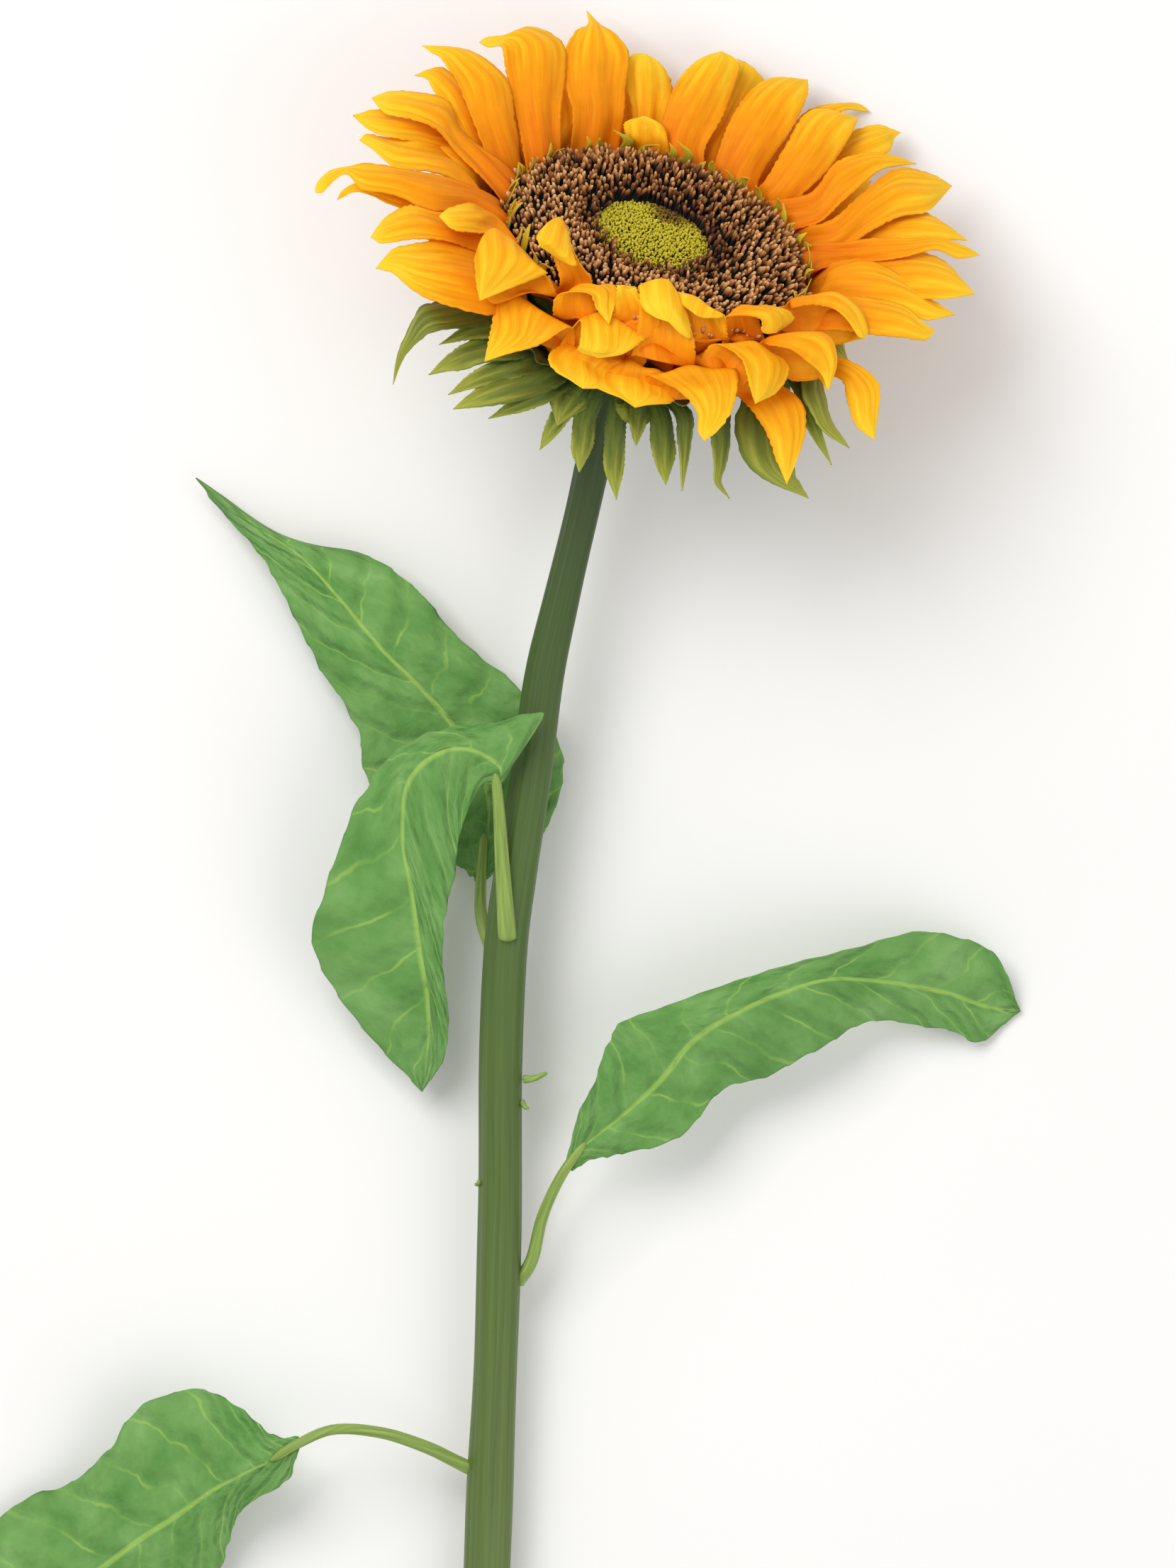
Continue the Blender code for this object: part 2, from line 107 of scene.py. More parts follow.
def from_flower(points: Array) -> Array:
    """Takes points in the flower's frame to the world.

    Args:
        points: Rows of (x, y, z) in millimetres.

    Returns:
        The same points in metres.
    """
    return (points + FLOWER_ORIGIN) * MM


def on_head(place: Place) -> Array:
    """A place on the head as x, y and z in the head's own frame.

    Args:
        place: Azimuth in degrees, radius and height in millimetres.

    Returns:
        The point in millimetres.
    """
    azimuth, radius, height = place
    angle = math.radians(azimuth)
    return np.array((radius * math.cos(angle), radius * math.sin(angle), height))


# ---------------------------------------------------------------------------
# Curves and sheets
# ---------------------------------------------------------------------------


def smooth_rows(controls: Array, count: int) -> Array:
    """A Catmull-Rom curve through rows of numbers, evenly by control row.

    Args:
        controls: The rows that the curve passes through.
        count: How many rows to return.

    Returns:
        The rows along the curve.
    """
    controls = np.asarray(controls, float)
    first = 2 * controls[0] - controls[1]
    last = 2 * controls[-1] - controls[-2]
    padded = np.vstack((first, controls, last))
    along = np.linspace(0, len(controls) - 1, count)
    span = np.minimum(along.astype(int), len(controls) - 2)
    share = (along - span)[:, None]
    before, start, end, after = (padded[span + step] for step in range(4))
    return 0.5 * (
        2 * start
        + (end - before) * share
        + (2 * before - 5 * start + 4 * end - after) * share**2
        + (3 * start - before - 3 * end + after) * share**3
    )


def even_route(controls: Array, count: int) -> Array:
    """Points at even distances on a smooth curve; extra columns follow along.

    Args:
        controls: Rows that start with x, y and z.
        count: How many points to return.

    Returns:
        The points.
    """
    fine = smooth_rows(controls, 400)
    steps = np.linalg.norm(np.diff(fine[:, :3], axis=0), axis=1)
    lengths = np.concatenate(([0.0], np.cumsum(steps)))
    wanted = np.linspace(0, lengths[-1], count)
    return np.stack([np.interp(wanted, lengths, column) for column in fine.T], axis=1)


def unit(rows: Array) -> Array:
    """Rows scaled to length one."""
    return rows / np.maximum(np.linalg.norm(rows, axis=-1, keepdims=True), 1e-9)


def tangents_of(route: Array) -> Array:
    """The unit direction of a route at each of its points."""
    return unit(np.gradient(route, axis=0))


def wobble(values: Array, seed: int, waves: int = 4) -> Array:
    """A smooth random wave of about unit height.

    Args:
        values: Where to read it; it repeats after a few whole numbers.
        seed: Picks the wave.
        waves: How many sines are added.

    Returns:
        The wave's height at each value.
    """
    chance = random.Random(seed)
    total = np.zeros_like(np.asarray(values, float))
    for _ in range(waves):
        speed = chance.uniform(0.5, 1.6)
        total += np.sin(2 * math.pi * (speed * values + chance.random())) / waves
    return total * 1.6


def deselect() -> None:
    """Leaves nothing selected."""
    bpy.ops.object.select_all(action="DESELECT")


def make_active(made: bpy.types.Object) -> None:
    """Selects one object alone.

    Args:
        made: The object.
    """
    deselect()
    made.select_set(True)
    bpy.context.view_layer.objects.active = made


def add_sheet(
    name: str, columns: int, rows: int, place: Callable[[Array, Array], Array]
) -> bpy.types.Object:
    """A grid primitive with each of its points moved to its place.

    Args:
        name: The object's name.
        columns: Faces across.
        rows: Faces along.
        place: Takes the side (-1 to 1) and the share along (0 to 1) to metres.

    Returns:
        The sheet, with a UV map of its share across and along.
    """
    deselect()
    bpy.ops.mesh.primitive_grid_add(x_subdivisions=columns, y_subdivisions=rows, size=2)
    made = bpy.context.object
    made.name = name
    made.data.name = name
    made.data.uv_layers[0].name = "cloth"
    flat = np.empty(len(made.data.vertices) * 3)
    made.data.vertices.foreach_get("co", flat)
    flat = flat.reshape(-1, 3)
    moved = place(flat[:, 0], (flat[:, 1] + 1) / 2)
    made.data.vertices.foreach_set("co", moved.ravel())
    made.data.update()
    return made


def stretch_uv(made: bpy.types.Object, width: float, length: float) -> None:
    """Scales a sheet's UV map, so that patterns on it are in millimetres.

    Args:
        made: The sheet.
        width: Millimetres across.
        length: Millimetres along.
    """
    layer = made.data.uv_layers["cloth"]
    flat = np.empty(len(layer.uv) * 2, np.float32)
    layer.uv.foreach_get("vector", flat)
    flat = flat.reshape(-1, 2)
    flat[:, 0] = (flat[:, 0] - 0.5) * width
    flat[:, 1] *= length
    layer.uv.foreach_set("vector", flat.ravel())


def give_thickness(made: bpy.types.Object, millimetres: float, material_offset: int = 0) -> None:
    """Turns a sheet into cloth of this thickness, half to each side.

    Args:
        made: The sheet.
        millimetres: How thick.
        material_offset: How many materials further on the side that it adds is.
    """
    make_active(made)
    wall = made.modifiers.new("thickness", "SOLIDIFY")
    wall.thickness = millimetres * MM
    wall.offset = 0.0
    wall.use_rim = True
    made.data.materials.append(None)
    made.data.materials.append(None)
    wall.material_offset = material_offset
    wall.material_offset_rim = material_offset
    bpy.ops.object.modifier_apply(modifier=wall.name)
    made.data.materials.clear()


def close_up(made: bpy.types.Object) -> None:
    """Merges a wrapped sheet's seam and poles and points its faces out.

    Args:
        made: The wrapped sheet.
    """
    make_active(made)
    bpy.ops.object.mode_set(mode="EDIT")
    bpy.ops.mesh.select_all(action="SELECT")
    bpy.ops.mesh.remove_doubles(threshold=1e-6)
    bpy.ops.mesh.normals_make_consistent(inside=False)
    bpy.ops.object.mode_set(mode="OBJECT")


def smooth(made: bpy.types.Object) -> None:
    """Shades an object smooth.

    Args:
        made: The object.
    """
    make_active(made)
    bpy.ops.object.shade_smooth()


def joined(name: str, parts: Sequence[bpy.types.Object]) -> bpy.types.Object:
    """Several objects as one piece.

    Args:
        name: The piece's name.
        parts: The objects; the first keeps its place.

    Returns:
        The piece.
    """
    deselect()
    for part in parts:
        part.select_set(True)
    bpy.context.view_layer.objects.active = parts[0]
    bpy.ops.object.join()
    parts[0].name = name
    parts[0].data.name = name
    return parts[0]


def add_tube(
    name: str, sides: int, route: Array, radii: Array, ribs: Optional[Callable[[Array, Array], Array]] = None
) -> bpy.types.Object:
    """A sheet wrapped round a route; a radius of nothing at its ends closes it.

    Args:
        name: The object's name.
        sides: Faces round.
        route: The centre line, in metres.
        radii: The radius at each of its points, in metres.
        ribs: Takes the angle and the share along to a factor on the radius.

    Returns:
        The closed tube.
    """
    tangents = tangents_of(route)
    side = unit(np.cross(np.array((1.0, 0.0, 0.0)), tangents))
    up = np.cross(tangents, side)

    def place(across: Array, along: Array) -> Array:
        """Wraps the grid round the route."""
        row = np.rint(along * (len(route) - 1)).astype(int)
        angle = across * math.pi
        factor = ribs(angle, along) if ribs else np.ones_like(angle)
        offset = side[row] * np.cos(angle)[:, None] + up[row] * np.sin(angle)[:, None]
        return route[row] + offset * (radii[row] * factor)[:, None]

    made = add_sheet(name, sides, len(route) - 1, place)
    close_up(made)
    smooth(made)
    return made


def finish_piece(made: bpy.types.Object, nodes: Sequence[str] = ()) -> None:
    """Declares a piece to the frame.

    Args:
        made: The piece.
        nodes: The CAD nodes that it stands for.
    """
    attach(made, "root")
    if nodes:
        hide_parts(*nodes)
    stands_for = ", ".join(nodes) or "no node"
    LOG.info("%s: %d faces, stands for %s", made.name, len(made.data.polygons), stands_for)


# ---------------------------------------------------------------------------
# Finishes
# ---------------------------------------------------------------------------


def linear(code: str) -> Colour:
    """An sRGB hex colour as linear RGBA.

    Args:
        code: Six hex digits.

    Returns:
        The colour for a shader socket.
    """
    channels = []
    for start in (0, 2, 4):
        value = int(code[start : start + 2], 16) / 255
        channels.append(value / 12.92 if value <= 0.04045 else ((value + 0.055) / 1.055) ** 2.4)
    return (channels[0], channels[1], channels[2], 1.0)


def add_node(
    tree: bpy.types.NodeTree,
    kind: str,
    values: Optional[dict[Any, Any]] = None,
    links: Optional[dict[Any, Any]] = None,
    stops: Sequence[tuple[float, str]] = (),
    **settings: Any,
) -> bpy.types.Node:
    """Adds one shader node with its settings and links.

    Args:
        tree: The node tree.
        kind: The node's type name without "ShaderNode".
        values: Input name or index to a fixed value.
        links: Input name or index to the socket that feeds it.
        stops: Places and hex colours of a colour ramp.
        **settings: The node's own properties.

    Returns:
        The node.
    """
    node = tree.nodes.new("ShaderNode" + kind)
    for key, value in settings.items():
        setattr(node, key, value)
    for key, value in (values or {}).items():
        node.inputs[key].default_value = value
    for key, socket in (links or {}).items():
        tree.links.new(socket, node.inputs[key])
    if stops:
        elements = node.color_ramp.elements
        while len(elements) < len(stops):
            elements.new(0.5)
        for element, (position, code) in zip(elements, stops):
            element.position = position
            element.color = linear(code)
    return node


@dataclass
class Brush:
    """Adds the nodes that most finishes share to one Principled tree."""

    tree: bpy.types.NodeTree
    surface: bpy.types.Node

    def node(
        self,
        kind: str,
        values: Optional[dict[Any, Any]] = None,
        links: Optional[dict[Any, Any]] = None,
        stops: Sequence[tuple[float, str]] = (),
        **settings: Any,
    ) -> Any:
        """Adds a node.

        Args:
            kind: The node's type name without "ShaderNode".
            values: Input name or index to a fixed value.
            links: Input name or index to the socket that feeds it.
            stops: Places and hex colours of a colour ramp.
            **settings: The node's own properties.

        Returns:
            The node's first output.
        """
        return add_node(self.tree, kind, values, links, stops, **settings).outputs[0]

    def cloth(self) -> tuple[Any, Any, Any]:
        """The piece's own map, in millimetres.

        Returns:
            The whole map, its share across and its share along.
        """
        whole = self.node("UVMap", uv_map="cloth")
        return (whole, *self.split(whole))

    def split(self, vector: Any) -> tuple[Any, Any]:
        """The first two parts of a vector.

        Args:
            vector: Its socket.

        Returns:
            Both sockets.
        """
        parts = add_node(self.tree, "SeparateXYZ", links={0: vector})
        return parts.outputs[0], parts.outputs[1]

    def place(self) -> Any:
        """The place on the piece.

        Returns:
            The socket, in metres.
        """
        return add_node(self.tree, "TexCoord").outputs["Object"]

    def stretched(self, vector: Any, across: float, along: float) -> Any:
        """A map scaled by its own factor each way.

        Args:
            vector: The map.
            across: The factor across.
            along: The factor along.

        Returns:
            The scaled map.
        """
        return self.node("Mapping", {"Scale": (across, along, 1)}, {"Vector": vector})

    def noise(self, vector: Any, scale: float, detail: float, roughness: float = 0.5) -> Any:
        """Soft noise.

        Args:
            vector: The map it lies on.
            scale: How many spots to a unit of the map.
            detail: How many finer layers.
            roughness: How strong the finer layers are.

        Returns:
            Its value.
        """
        values = {"Scale": scale, "Detail": detail, "Roughness": roughness}
        return self.node("TexNoise", values, {"Vector": vector})

    def weave(self, cloth: Any, thread_mm: float) -> Any:
        """The threads of a woven cloth.

        Args:
            cloth: The piece's map.
            thread_mm: The thread's width.

        Returns:
            The height of the threads.
        """
        mapped = self.stretched(cloth, 1 / thread_mm, 1 / thread_mm)
        return self.node("TexVoronoi", {"Scale": 1.0}, {"Vector": mapped})

    def span(self, value: Any, given: Sequence[float], wanted: Sequence[float], how: str = "LINEAR") -> Any:
        """Takes one range to another, and clamps.

        Args:
            value: What to take.
            given: The range that it has.
            wanted: The range that it gets.
            how: The node's interpolation.

        Returns:
            The value in the new range.
        """
        values = {1: given[0], 2: given[1], 3: wanted[0], 4: wanted[1]}
        return self.node("MapRange", values, {0: value}, interpolation_type=how)

    def math(self, operation: str, *operands: Any) -> Any:
        """One sum on numbers and sockets.

        Args:
            operation: The node's operation.
            *operands: What it works on, in order.

        Returns:
            The result.
        """
        numbers = {index: one for index, one in enumerate(operands) if isinstance(one, float)}
        sockets = {index: one for index, one in enumerate(operands) if not isinstance(one, float)}
        return self.node("Math", numbers, sockets, operation=operation)

    def ramp(self, value: Any, stops: Sequence[tuple[float, str]]) -> Any:
        """A colour ramp.

        Args:
            value: Where on the ramp.
            stops: Its places and hex colours.

        Returns:
            The colour.
        """
        return self.node("ValToRGB", {}, {0: value}, stops)

    def multiplied(self, one: Any, other: Any) -> Any:
        """Two colours multiplied.

        Args:
            one: The first.
            other: The second.

        Returns:
            The product.
        """
        settings = {"data_type": "RGBA", "blend_type": "MULTIPLY"}
        return add_node(self.tree, "Mix", {0: 1.0}, {6: one, 7: other}, **settings).outputs[2]

    def mixed(self, share: Any, colour: Any, code: str) -> Any:
        """A colour mixed with a plain one.

        Args:
            share: How much of the plain one.
            colour: The colour.
            code: The plain one in hex.

        Returns:
            The mixture.
        """
        links = {0: share, 6: colour}
        return add_node(self.tree, "Mix", {7: linear(code)}, links, data_type="RGBA").outputs[2]

    def bump(self, height: Any, strength: float, distance: float, under: Any = None) -> Any:
        """A surface that rises and falls.

        Args:
            height: The height's socket.
            strength: How strong.
            distance: How high, in metres.
            under: The normal of a coarser surface that this one lies on.

        Returns:
            The normal.
        """
        links = {"Height": height} if under is None else {"Height": height, "Normal": under}
        return self.node("Bump", {"Strength": strength, "Distance": distance}, links)

    def finish(
        self, colour: Any, roughness: float, specular: float, normal: Any = None, sheen: float = 0.0
    ) -> None:
        """Puts it all on the surface.

        Args:
            colour: The base colour's socket.
            roughness: The roughness.
            specular: The specular level.
            normal: The normal's socket.
            sheen: The sheen's weight.
        """
        self.tree.links.new(colour, self.surface.inputs["Base Color"])
        if normal is not None:
            self.tree.links.new(normal, self.surface.inputs["Normal"])
        self.surface.inputs["Roughness"].default_value = roughness
        self.surface.inputs["Specular IOR Level"].default_value = specular
        self.surface.inputs["Sheen Weight"].default_value = sheen


@dataclass(frozen=True)
class Finish:
    """A named surface; each kind paints itself onto an empty Principled tree."""

    name: str

    def material(self) -> bpy.types.Material:
        """The finish as a material, made once.

        Returns:
            The material.
        """
        made = bpy.data.materials.get(self.name)
        if made is None:
            made = bpy.data.materials.new(self.name)
            made.use_nodes = True
            self.paint(Brush(made.node_tree, made.node_tree.nodes["Principled BSDF"]))
        return made

    def paint(self, brush: Brush) -> None:
        """Adds this finish's nodes.

        Args:
            brush: The brush on its tree.
        """
        raise NotImplementedError


@dataclass(frozen=True)
class PetalCloth(Finish):
    """Woven polyester satin, dyed orange at the root and yellow at the tip, heat-pressed into pleats.

    The dye fades along the petal in streaks, and the weave shows as a faint grain.
    """

    stops: tuple[tuple[float, str], ...] = (
        (0.0, "ee7e02"),
        (0.14, "fa9c06"),
        (0.3, "fdb814"),
        (0.46, "fed02c"),
        (0.7, "fee044"),
        (1.0, "fee85c"),
    )
    faded_mm: float = 58.0
    streak_mm: float = 14.0
    vein_mm: float = 1.3
    thread_mm: float = 0.35

    def paint(self, brush: Brush) -> None:
        """Dye by the share along, streaks, pressed veins and weave.

        Args:
            brush: The brush on its tree.
        """
        cloth, _, along = brush.cloth()
        streaks = brush.noise(brush.stretched(cloth, 0.55, 0.035), 1.0, 3.0, 0.6)
        swing = brush.span(streaks, (0.25, 0.75), (-self.streak_mm, self.streak_mm))
        dye = brush.span(brush.math("ADD", along, swing), (0.0, self.faded_mm), (0.0, 1.0))
        mottle = brush.span(brush.noise(cloth, 0.16, 4.0), (0.3, 0.7), (0.94, 1.04))
        colour = brush.multiplied(brush.ramp(dye, self.stops), mottle)
        ribs = brush.noise(brush.stretched(cloth, 1 / self.vein_mm, 0.02), 1.0, 2.0)
        pressed = brush.bump(ribs, 0.16, 0.0005)
        grain = brush.bump(brush.weave(cloth, self.thread_mm), 0.12, 0.0001, pressed)
        brush.finish(colour, 0.62, 0.12, grain)


@dataclass(frozen=True)
class LeafCloth(Finish):
    """Woven polyester printed leaf green, with its yellow-green veins printed and pressed in."""

    vein_step_mm: float = 13.0
    rib_mm: float = 0.55
    vein_mm: float = 0.26
    thread_mm: float = 0.4
    greens: tuple[tuple[float, str], ...] = (
        (0.28, "4a7f34"),
        (0.42, "5e9145"),
        (0.56, "6f9f53"),
        (0.7, "7fac64"),
        (0.85, "93bb7c"),
    )

    def nearest_vein(self, brush: Brush, cloth: Any, across: Any) -> Any:
        """How far each place is from the nearest side vein; the veins sweep to the tip.

        Args:
            brush: The brush on its tree.
            cloth: The piece's map.
            across: Its share across.

        Returns:
            The distance in millimetres.
        """
        wander = add_node(brush.tree, "TexNoise", {"Scale": 0.09, "Detail": 2.0}, {"Vector": cloth})
        half = (0.5, 0.5, 0.5)
        centred = brush.node("VectorMath", {1: half}, {0: wander.outputs["Color"]}, operation="SUBTRACT")
        scaled = brush.node("VectorMath", {"Scale": 7.0}, {0: centred}, operation="SCALE")
        bent = brush.node("VectorMath", {}, {0: cloth, 1: scaled}, operation="ADD")
        bent_across, bent_along = brush.split(bent)
        stagger = brush.math("MULTIPLY", brush.math("SIGN", across), 0.23 * self.vein_step_mm)
        swept = brush.math("MULTIPLY_ADD", brush.math("ABSOLUTE", bent_across), -0.85, bent_along)
        return brush.math("PINGPONG", brush.math("ADD", swept, stagger), self.vein_step_mm / 2)

    def paint(self, brush: Brush) -> None:
        """Mottled green, a midrib, side veins that sweep to the tip, and weave.

        Args:
            brush: The brush on its tree.
        """
        cloth, across, _ = brush.cloth()
        nearest = self.nearest_vein(brush, cloth, across)
        edge = (self.vein_mm * 0.5, self.vein_mm * 2.6)
        side_vein = brush.span(nearest, edge, (1.0, 0.0), "SMOOTHSTEP")
        patchy = brush.span(brush.noise(cloth, 0.07, 1.0), (0.42, 0.62), (0.08, 0.5))
        edge = (self.rib_mm * 0.6, self.rib_mm * 2.4)
        midrib = brush.span(brush.math("ABSOLUTE", across), edge, (0.65, 0.0), "SMOOTHSTEP")
        veins = brush.math("MAXIMUM", brush.math("MULTIPLY", side_vein, patchy), midrib)
        green = brush.ramp(brush.noise(cloth, 0.055, 5.0, 0.6), self.greens)
        quilt = brush.span(nearest, (0.0, self.vein_step_mm / 2), (0.0, 1.0), "SMOOTHERSTEP")
        puffed = brush.bump(quilt, 0.5, 0.0022)
        crumpled = brush.bump(brush.noise(cloth, 0.22, 3.0), 0.45, 0.0016, puffed)
        grain = brush.bump(brush.weave(cloth, self.thread_mm), 0.14, 0.0001, crumpled)
        brush.finish(brush.mixed(veins, green, "a3c75e"), 0.68, 0.25, grain, sheen=0.1)


@dataclass(frozen=True)
class BractCloth(Finish):
    """Heavier green polyester, dark at the root and yellow-green towards its rolled tip."""

    length_mm: float = 36.0
    streak_mm: float = 9.0

    def paint(self, brush: Brush) -> None:
        """Dye by the share along, with streaks and a crumpled surface.

        Args:
            brush: The brush on its tree.
        """
        cloth, _, along = brush.cloth()
        streaks = brush.noise(brush.stretched(cloth, 0.5, 0.07), 1.0, 3.0)
        swing = brush.span(streaks, (0.25, 0.75), (-self.streak_mm, self.streak_mm))
        dye = brush.span(brush.math("ADD", along, swing), (0.0, self.length_mm), (0.0, 1.0))
        greens = ((0.0, "2a4012"), (0.3, "4a601d"), (0.6, "717c26"), (1.0, "b0b443"))
        crumple = brush.bump(brush.noise(cloth, 0.5, 3.0), 0.4, 0.0008)
        brush.finish(brush.ramp(dye, greens), 0.62, 0.3, crumple, sheen=0.08)


@dataclass(frozen=True)
class CalyxCloth(Finish):
    """Pale green torn cloth, as glued under the petals."""

    def paint(self, brush: Brush) -> None:
        """Patches of dark and pale green.

        Args:
            brush: The brush on its tree.
        """
        greens = ((0.35, "2f441a"), (0.5, "4f6428"), (0.7, "8b9a5a"))
        brush.finish(brush.ramp(brush.noise(brush.place(), 90.0, 4.0), greens), 0.75, 0.2)


@dataclass(frozen=True)
class StemPlastic(Finish):
    """Moulded soft polyethylene over a wire, with lengthwise ribs and a satin skin.

    Dark green under the head, olive in the middle and dull khaki green at the cut end.
    """

    length_mm: float = 490.0
    greens: tuple[tuple[float, str], ...] = (
        (0.0, "2c3e16"),
        (0.08, "35491b"),
        (0.3, "4b6529"),
        (0.5, "53692c"),
        (0.75, "60753a"),
        (1.0, "6b7f45"),
    )

    def paint(self, brush: Brush) -> None:
        """Colour by the share along, with fine streaks, scuffs and pores.

        Args:
            brush: The brush on its tree.
        """
        cloth, _, along = brush.cloth()
        green = brush.ramp(brush.span(along, (0.0, self.length_mm), (0.0, 1.0)), self.greens)
        streaks = brush.noise(brush.stretched(cloth, 0.9, 0.012), 1.0, 4.0, 0.65)
        streaked = brush.multiplied(green, brush.span(streaks, (0.3, 0.7), (0.78, 1.16)))
        scuffs = brush.noise(brush.stretched(cloth, 0.35, 0.09), 1.0, 6.0, 0.7)
        worn = brush.span(scuffs, (0.62, 0.72), (0.0, 0.5))
        brush.finish(brush.mixed(worn, streaked, "4b4a26"), 0.48, 0.4, brush.bump(streaks, 0.35, 0.0004))


@dataclass(frozen=True)
class StalkPlastic(Finish):
    """The same moulded polyethylene in the leaf stalks' lighter yellow green."""

    def paint(self, brush: Brush) -> None:
        """Light green with soft streaks.

        Args:
            brush: The brush on its tree.
        """
        cloth, _, _ = brush.cloth()
        greens = ((0.3, "6f8a3c"), (0.5, "86a04a"), (0.72, "9fb45c"))
        streaks = brush.noise(brush.stretched(cloth, 1.2, 0.05), 1.0, 3.0)
        brush.finish(brush.ramp(streaks, greens), 0.45, 0.4)


@dataclass(frozen=True)
class CutEnd(Finish):
    """The cut face: a pale core with the green skin round it."""

    def paint(self, brush: Brush) -> None:
        """Rough cream, mottled.

        Args:
            brush: The brush on its tree.
        """
        grit = brush.noise(brush.place(), 700.0, 3.0)
        brush.finish(brush.ramp(grit, ((0.35, "a8a877"), (0.65, "d3d0a6"))), 0.9, 0.5)


@dataclass(frozen=True)
class Flock(Finish):
    """Flocked foam tufts, coloured from foot to tip and toned one by one.

    The feet are painted dark as painted shade in the gaps between the tufts, and the tips are painted pale.
    """

    # Colours from foot to tip; the dark low end is painted shade between the tufts.
    foot: tuple[tuple[float, str], ...]
    tone: tuple[tuple[float, str], ...]
    roughness: float
    specular: float

    def paint(self, brush: Brush) -> None:
        """Colour by the height on the tuft, with painted shade towards the foot, times the tuft's own tone.

        Args:
            brush: The brush on its tree.
        """
        _, tone, height = brush.cloth()
        colour = brush.multiplied(brush.ramp(height, self.foot), brush.ramp(tone, self.tone))
        brush.finish(colour, self.roughness, self.specular, sheen=0.1)


@dataclass(frozen=True)
class DryChaff(Finish):
    """Thin olive-yellow paper flakes, browner at the foot."""

    length_mm: float = 8.0

    def paint(self, brush: Brush) -> None:
        """Olive at the foot to straw yellow at the tip, with a fine grain.

        Args:
            brush: The brush on its tree.
        """
        cloth, _, along = brush.cloth()
        grain = brush.noise(brush.stretched(cloth, 2.0, 0.3), 1.0, 3.0)
        swing = brush.span(grain, (0.3, 0.7), (-1.5, 1.5))
        dye = brush.span(brush.math("ADD", along, swing), (0.0, self.length_mm), (0.0, 1.0))
        straw = brush.ramp(dye, ((0.0, "6c5a10"), (0.4, "a08c18"), (1.0, "d3b62c")))
        brush.finish(straw, 0.7, 0.2, brush.bump(grain, 0.3, 0.0003))


@dataclass(frozen=True)
class FloorPaper(Finish):
    """Pale matt seamless paper."""

    def paint(self, brush: Brush) -> None:
        """Almost white, with the faintest mottle.

        Args:
            brush: The brush on its tree.
        """
        pulp = brush.noise(brush.place(), 3.0, 3.0)
        brush.finish(brush.ramp(pulp, ((0.3, "f1f0ee"), (0.7, "f5f4f2"))), 0.9, 0.1)


PETAL_SATIN = PetalCloth("petal_satin_yellow")
PETAL_INNER = PetalCloth(
    "petal_satin_lemon",
    stops=((0.0, "f28a04"), (0.14, "fcb414"), (0.3, "fed22c"), (0.6, "fee144"), (1.0, "fdea62")),
)
# The petals' back side is the satin in a darker orange: painted shade for undersides that face away from the
# light.
PETAL_BACK_SHADE = PetalCloth(
    "petal_satin_back_shade",
    stops=((0.0, "d96804"), (0.3, "ea8206"), (0.6, "f39c0e"), (0.85, "f9b81c"), (1.0, "fbc92c")),
)
LEAF_PRINT = LeafCloth("leaf_print_green")
BRACT_DYED = BractCloth("bract_dyed_green")
CALYX_TORN = CalyxCloth("calyx_torn_green")
STEM_MOULDED = StemPlastic("stem_moulded_olive")
STALK_MOULDED = StalkPlastic("stalk_moulded_lime")
CUT_CORE = CutEnd("cut_core_cream")
# The dark low end of each foot ramp is painted shade in the gaps between the tufts.
FLORET_TUFT = Flock(
    "floret_flock_brown",
    foot=((0.0, "120905"), (0.45, "2a170b"), (0.66, "8e602e"), (0.86, "dca468"), (1.0, "f2c890")),
    tone=((0.0, "5e452e"), (0.35, "a5866a"), (0.7, "f0dcc4"), (1.0, "ffffff")),
    roughness=0.8,
    specular=0.2,
)
EYE_TUFT = Flock(
    "eye_flock_lime",
    foot=((0.0, "756a10"), (0.5, "b3a41c"), (1.0, "d2c434")),
    tone=((0.0, "7a5436"), (0.35, "b09a62"), (0.7, "ffffff")),
    roughness=0.9,
    specular=0.15,
)
CHAFF_DRY = DryChaff("chaff_dry_straw")
PAPER = FloorPaper("floor_paper_white")


# ---------------------------------------------------------------------------
# Petals and bracts
# ---------------------------------------------------------------------------


class Row(Enum):
    """The ring that a petal or bract grows from: its root and shoulder, as (radius, height)."""

    INNER = ((42.4, -7.0), (43.8, -1.0))
    MIDDLE = ((42.0, -13.0), (45.6, -5.0))
    OUTER = ((39.5, -21.5), (47.6, -10.5))
    BRACT = ((30.0, -27.5), None)


INNER, MIDDLE, OUTER, BRACT = Row.INNER, Row.MIDDLE, Row.OUTER, Row.BRACT


def from_plan(point: Place) -> Array:
    """A place given by its plan and its height over the disc's face, in the head's frame.

    Args:
        point: x and y as seen from above in the flower's frame, and the height off the face's
            plane, in millimetres.

    Returns:
        The point in the head's own frame.
    """
    x, y, height = point
    level = x * math.cos(HEAD_TURN) - y * math.sin(HEAD_TURN)
    uphill = x * math.sin(HEAD_TURN) + y * math.cos(HEAD_TURN)
    other = (uphill - height * math.sin(HEAD_LEAN)) / math.cos(HEAD_LEAN)
    return np.array((level, other, height))


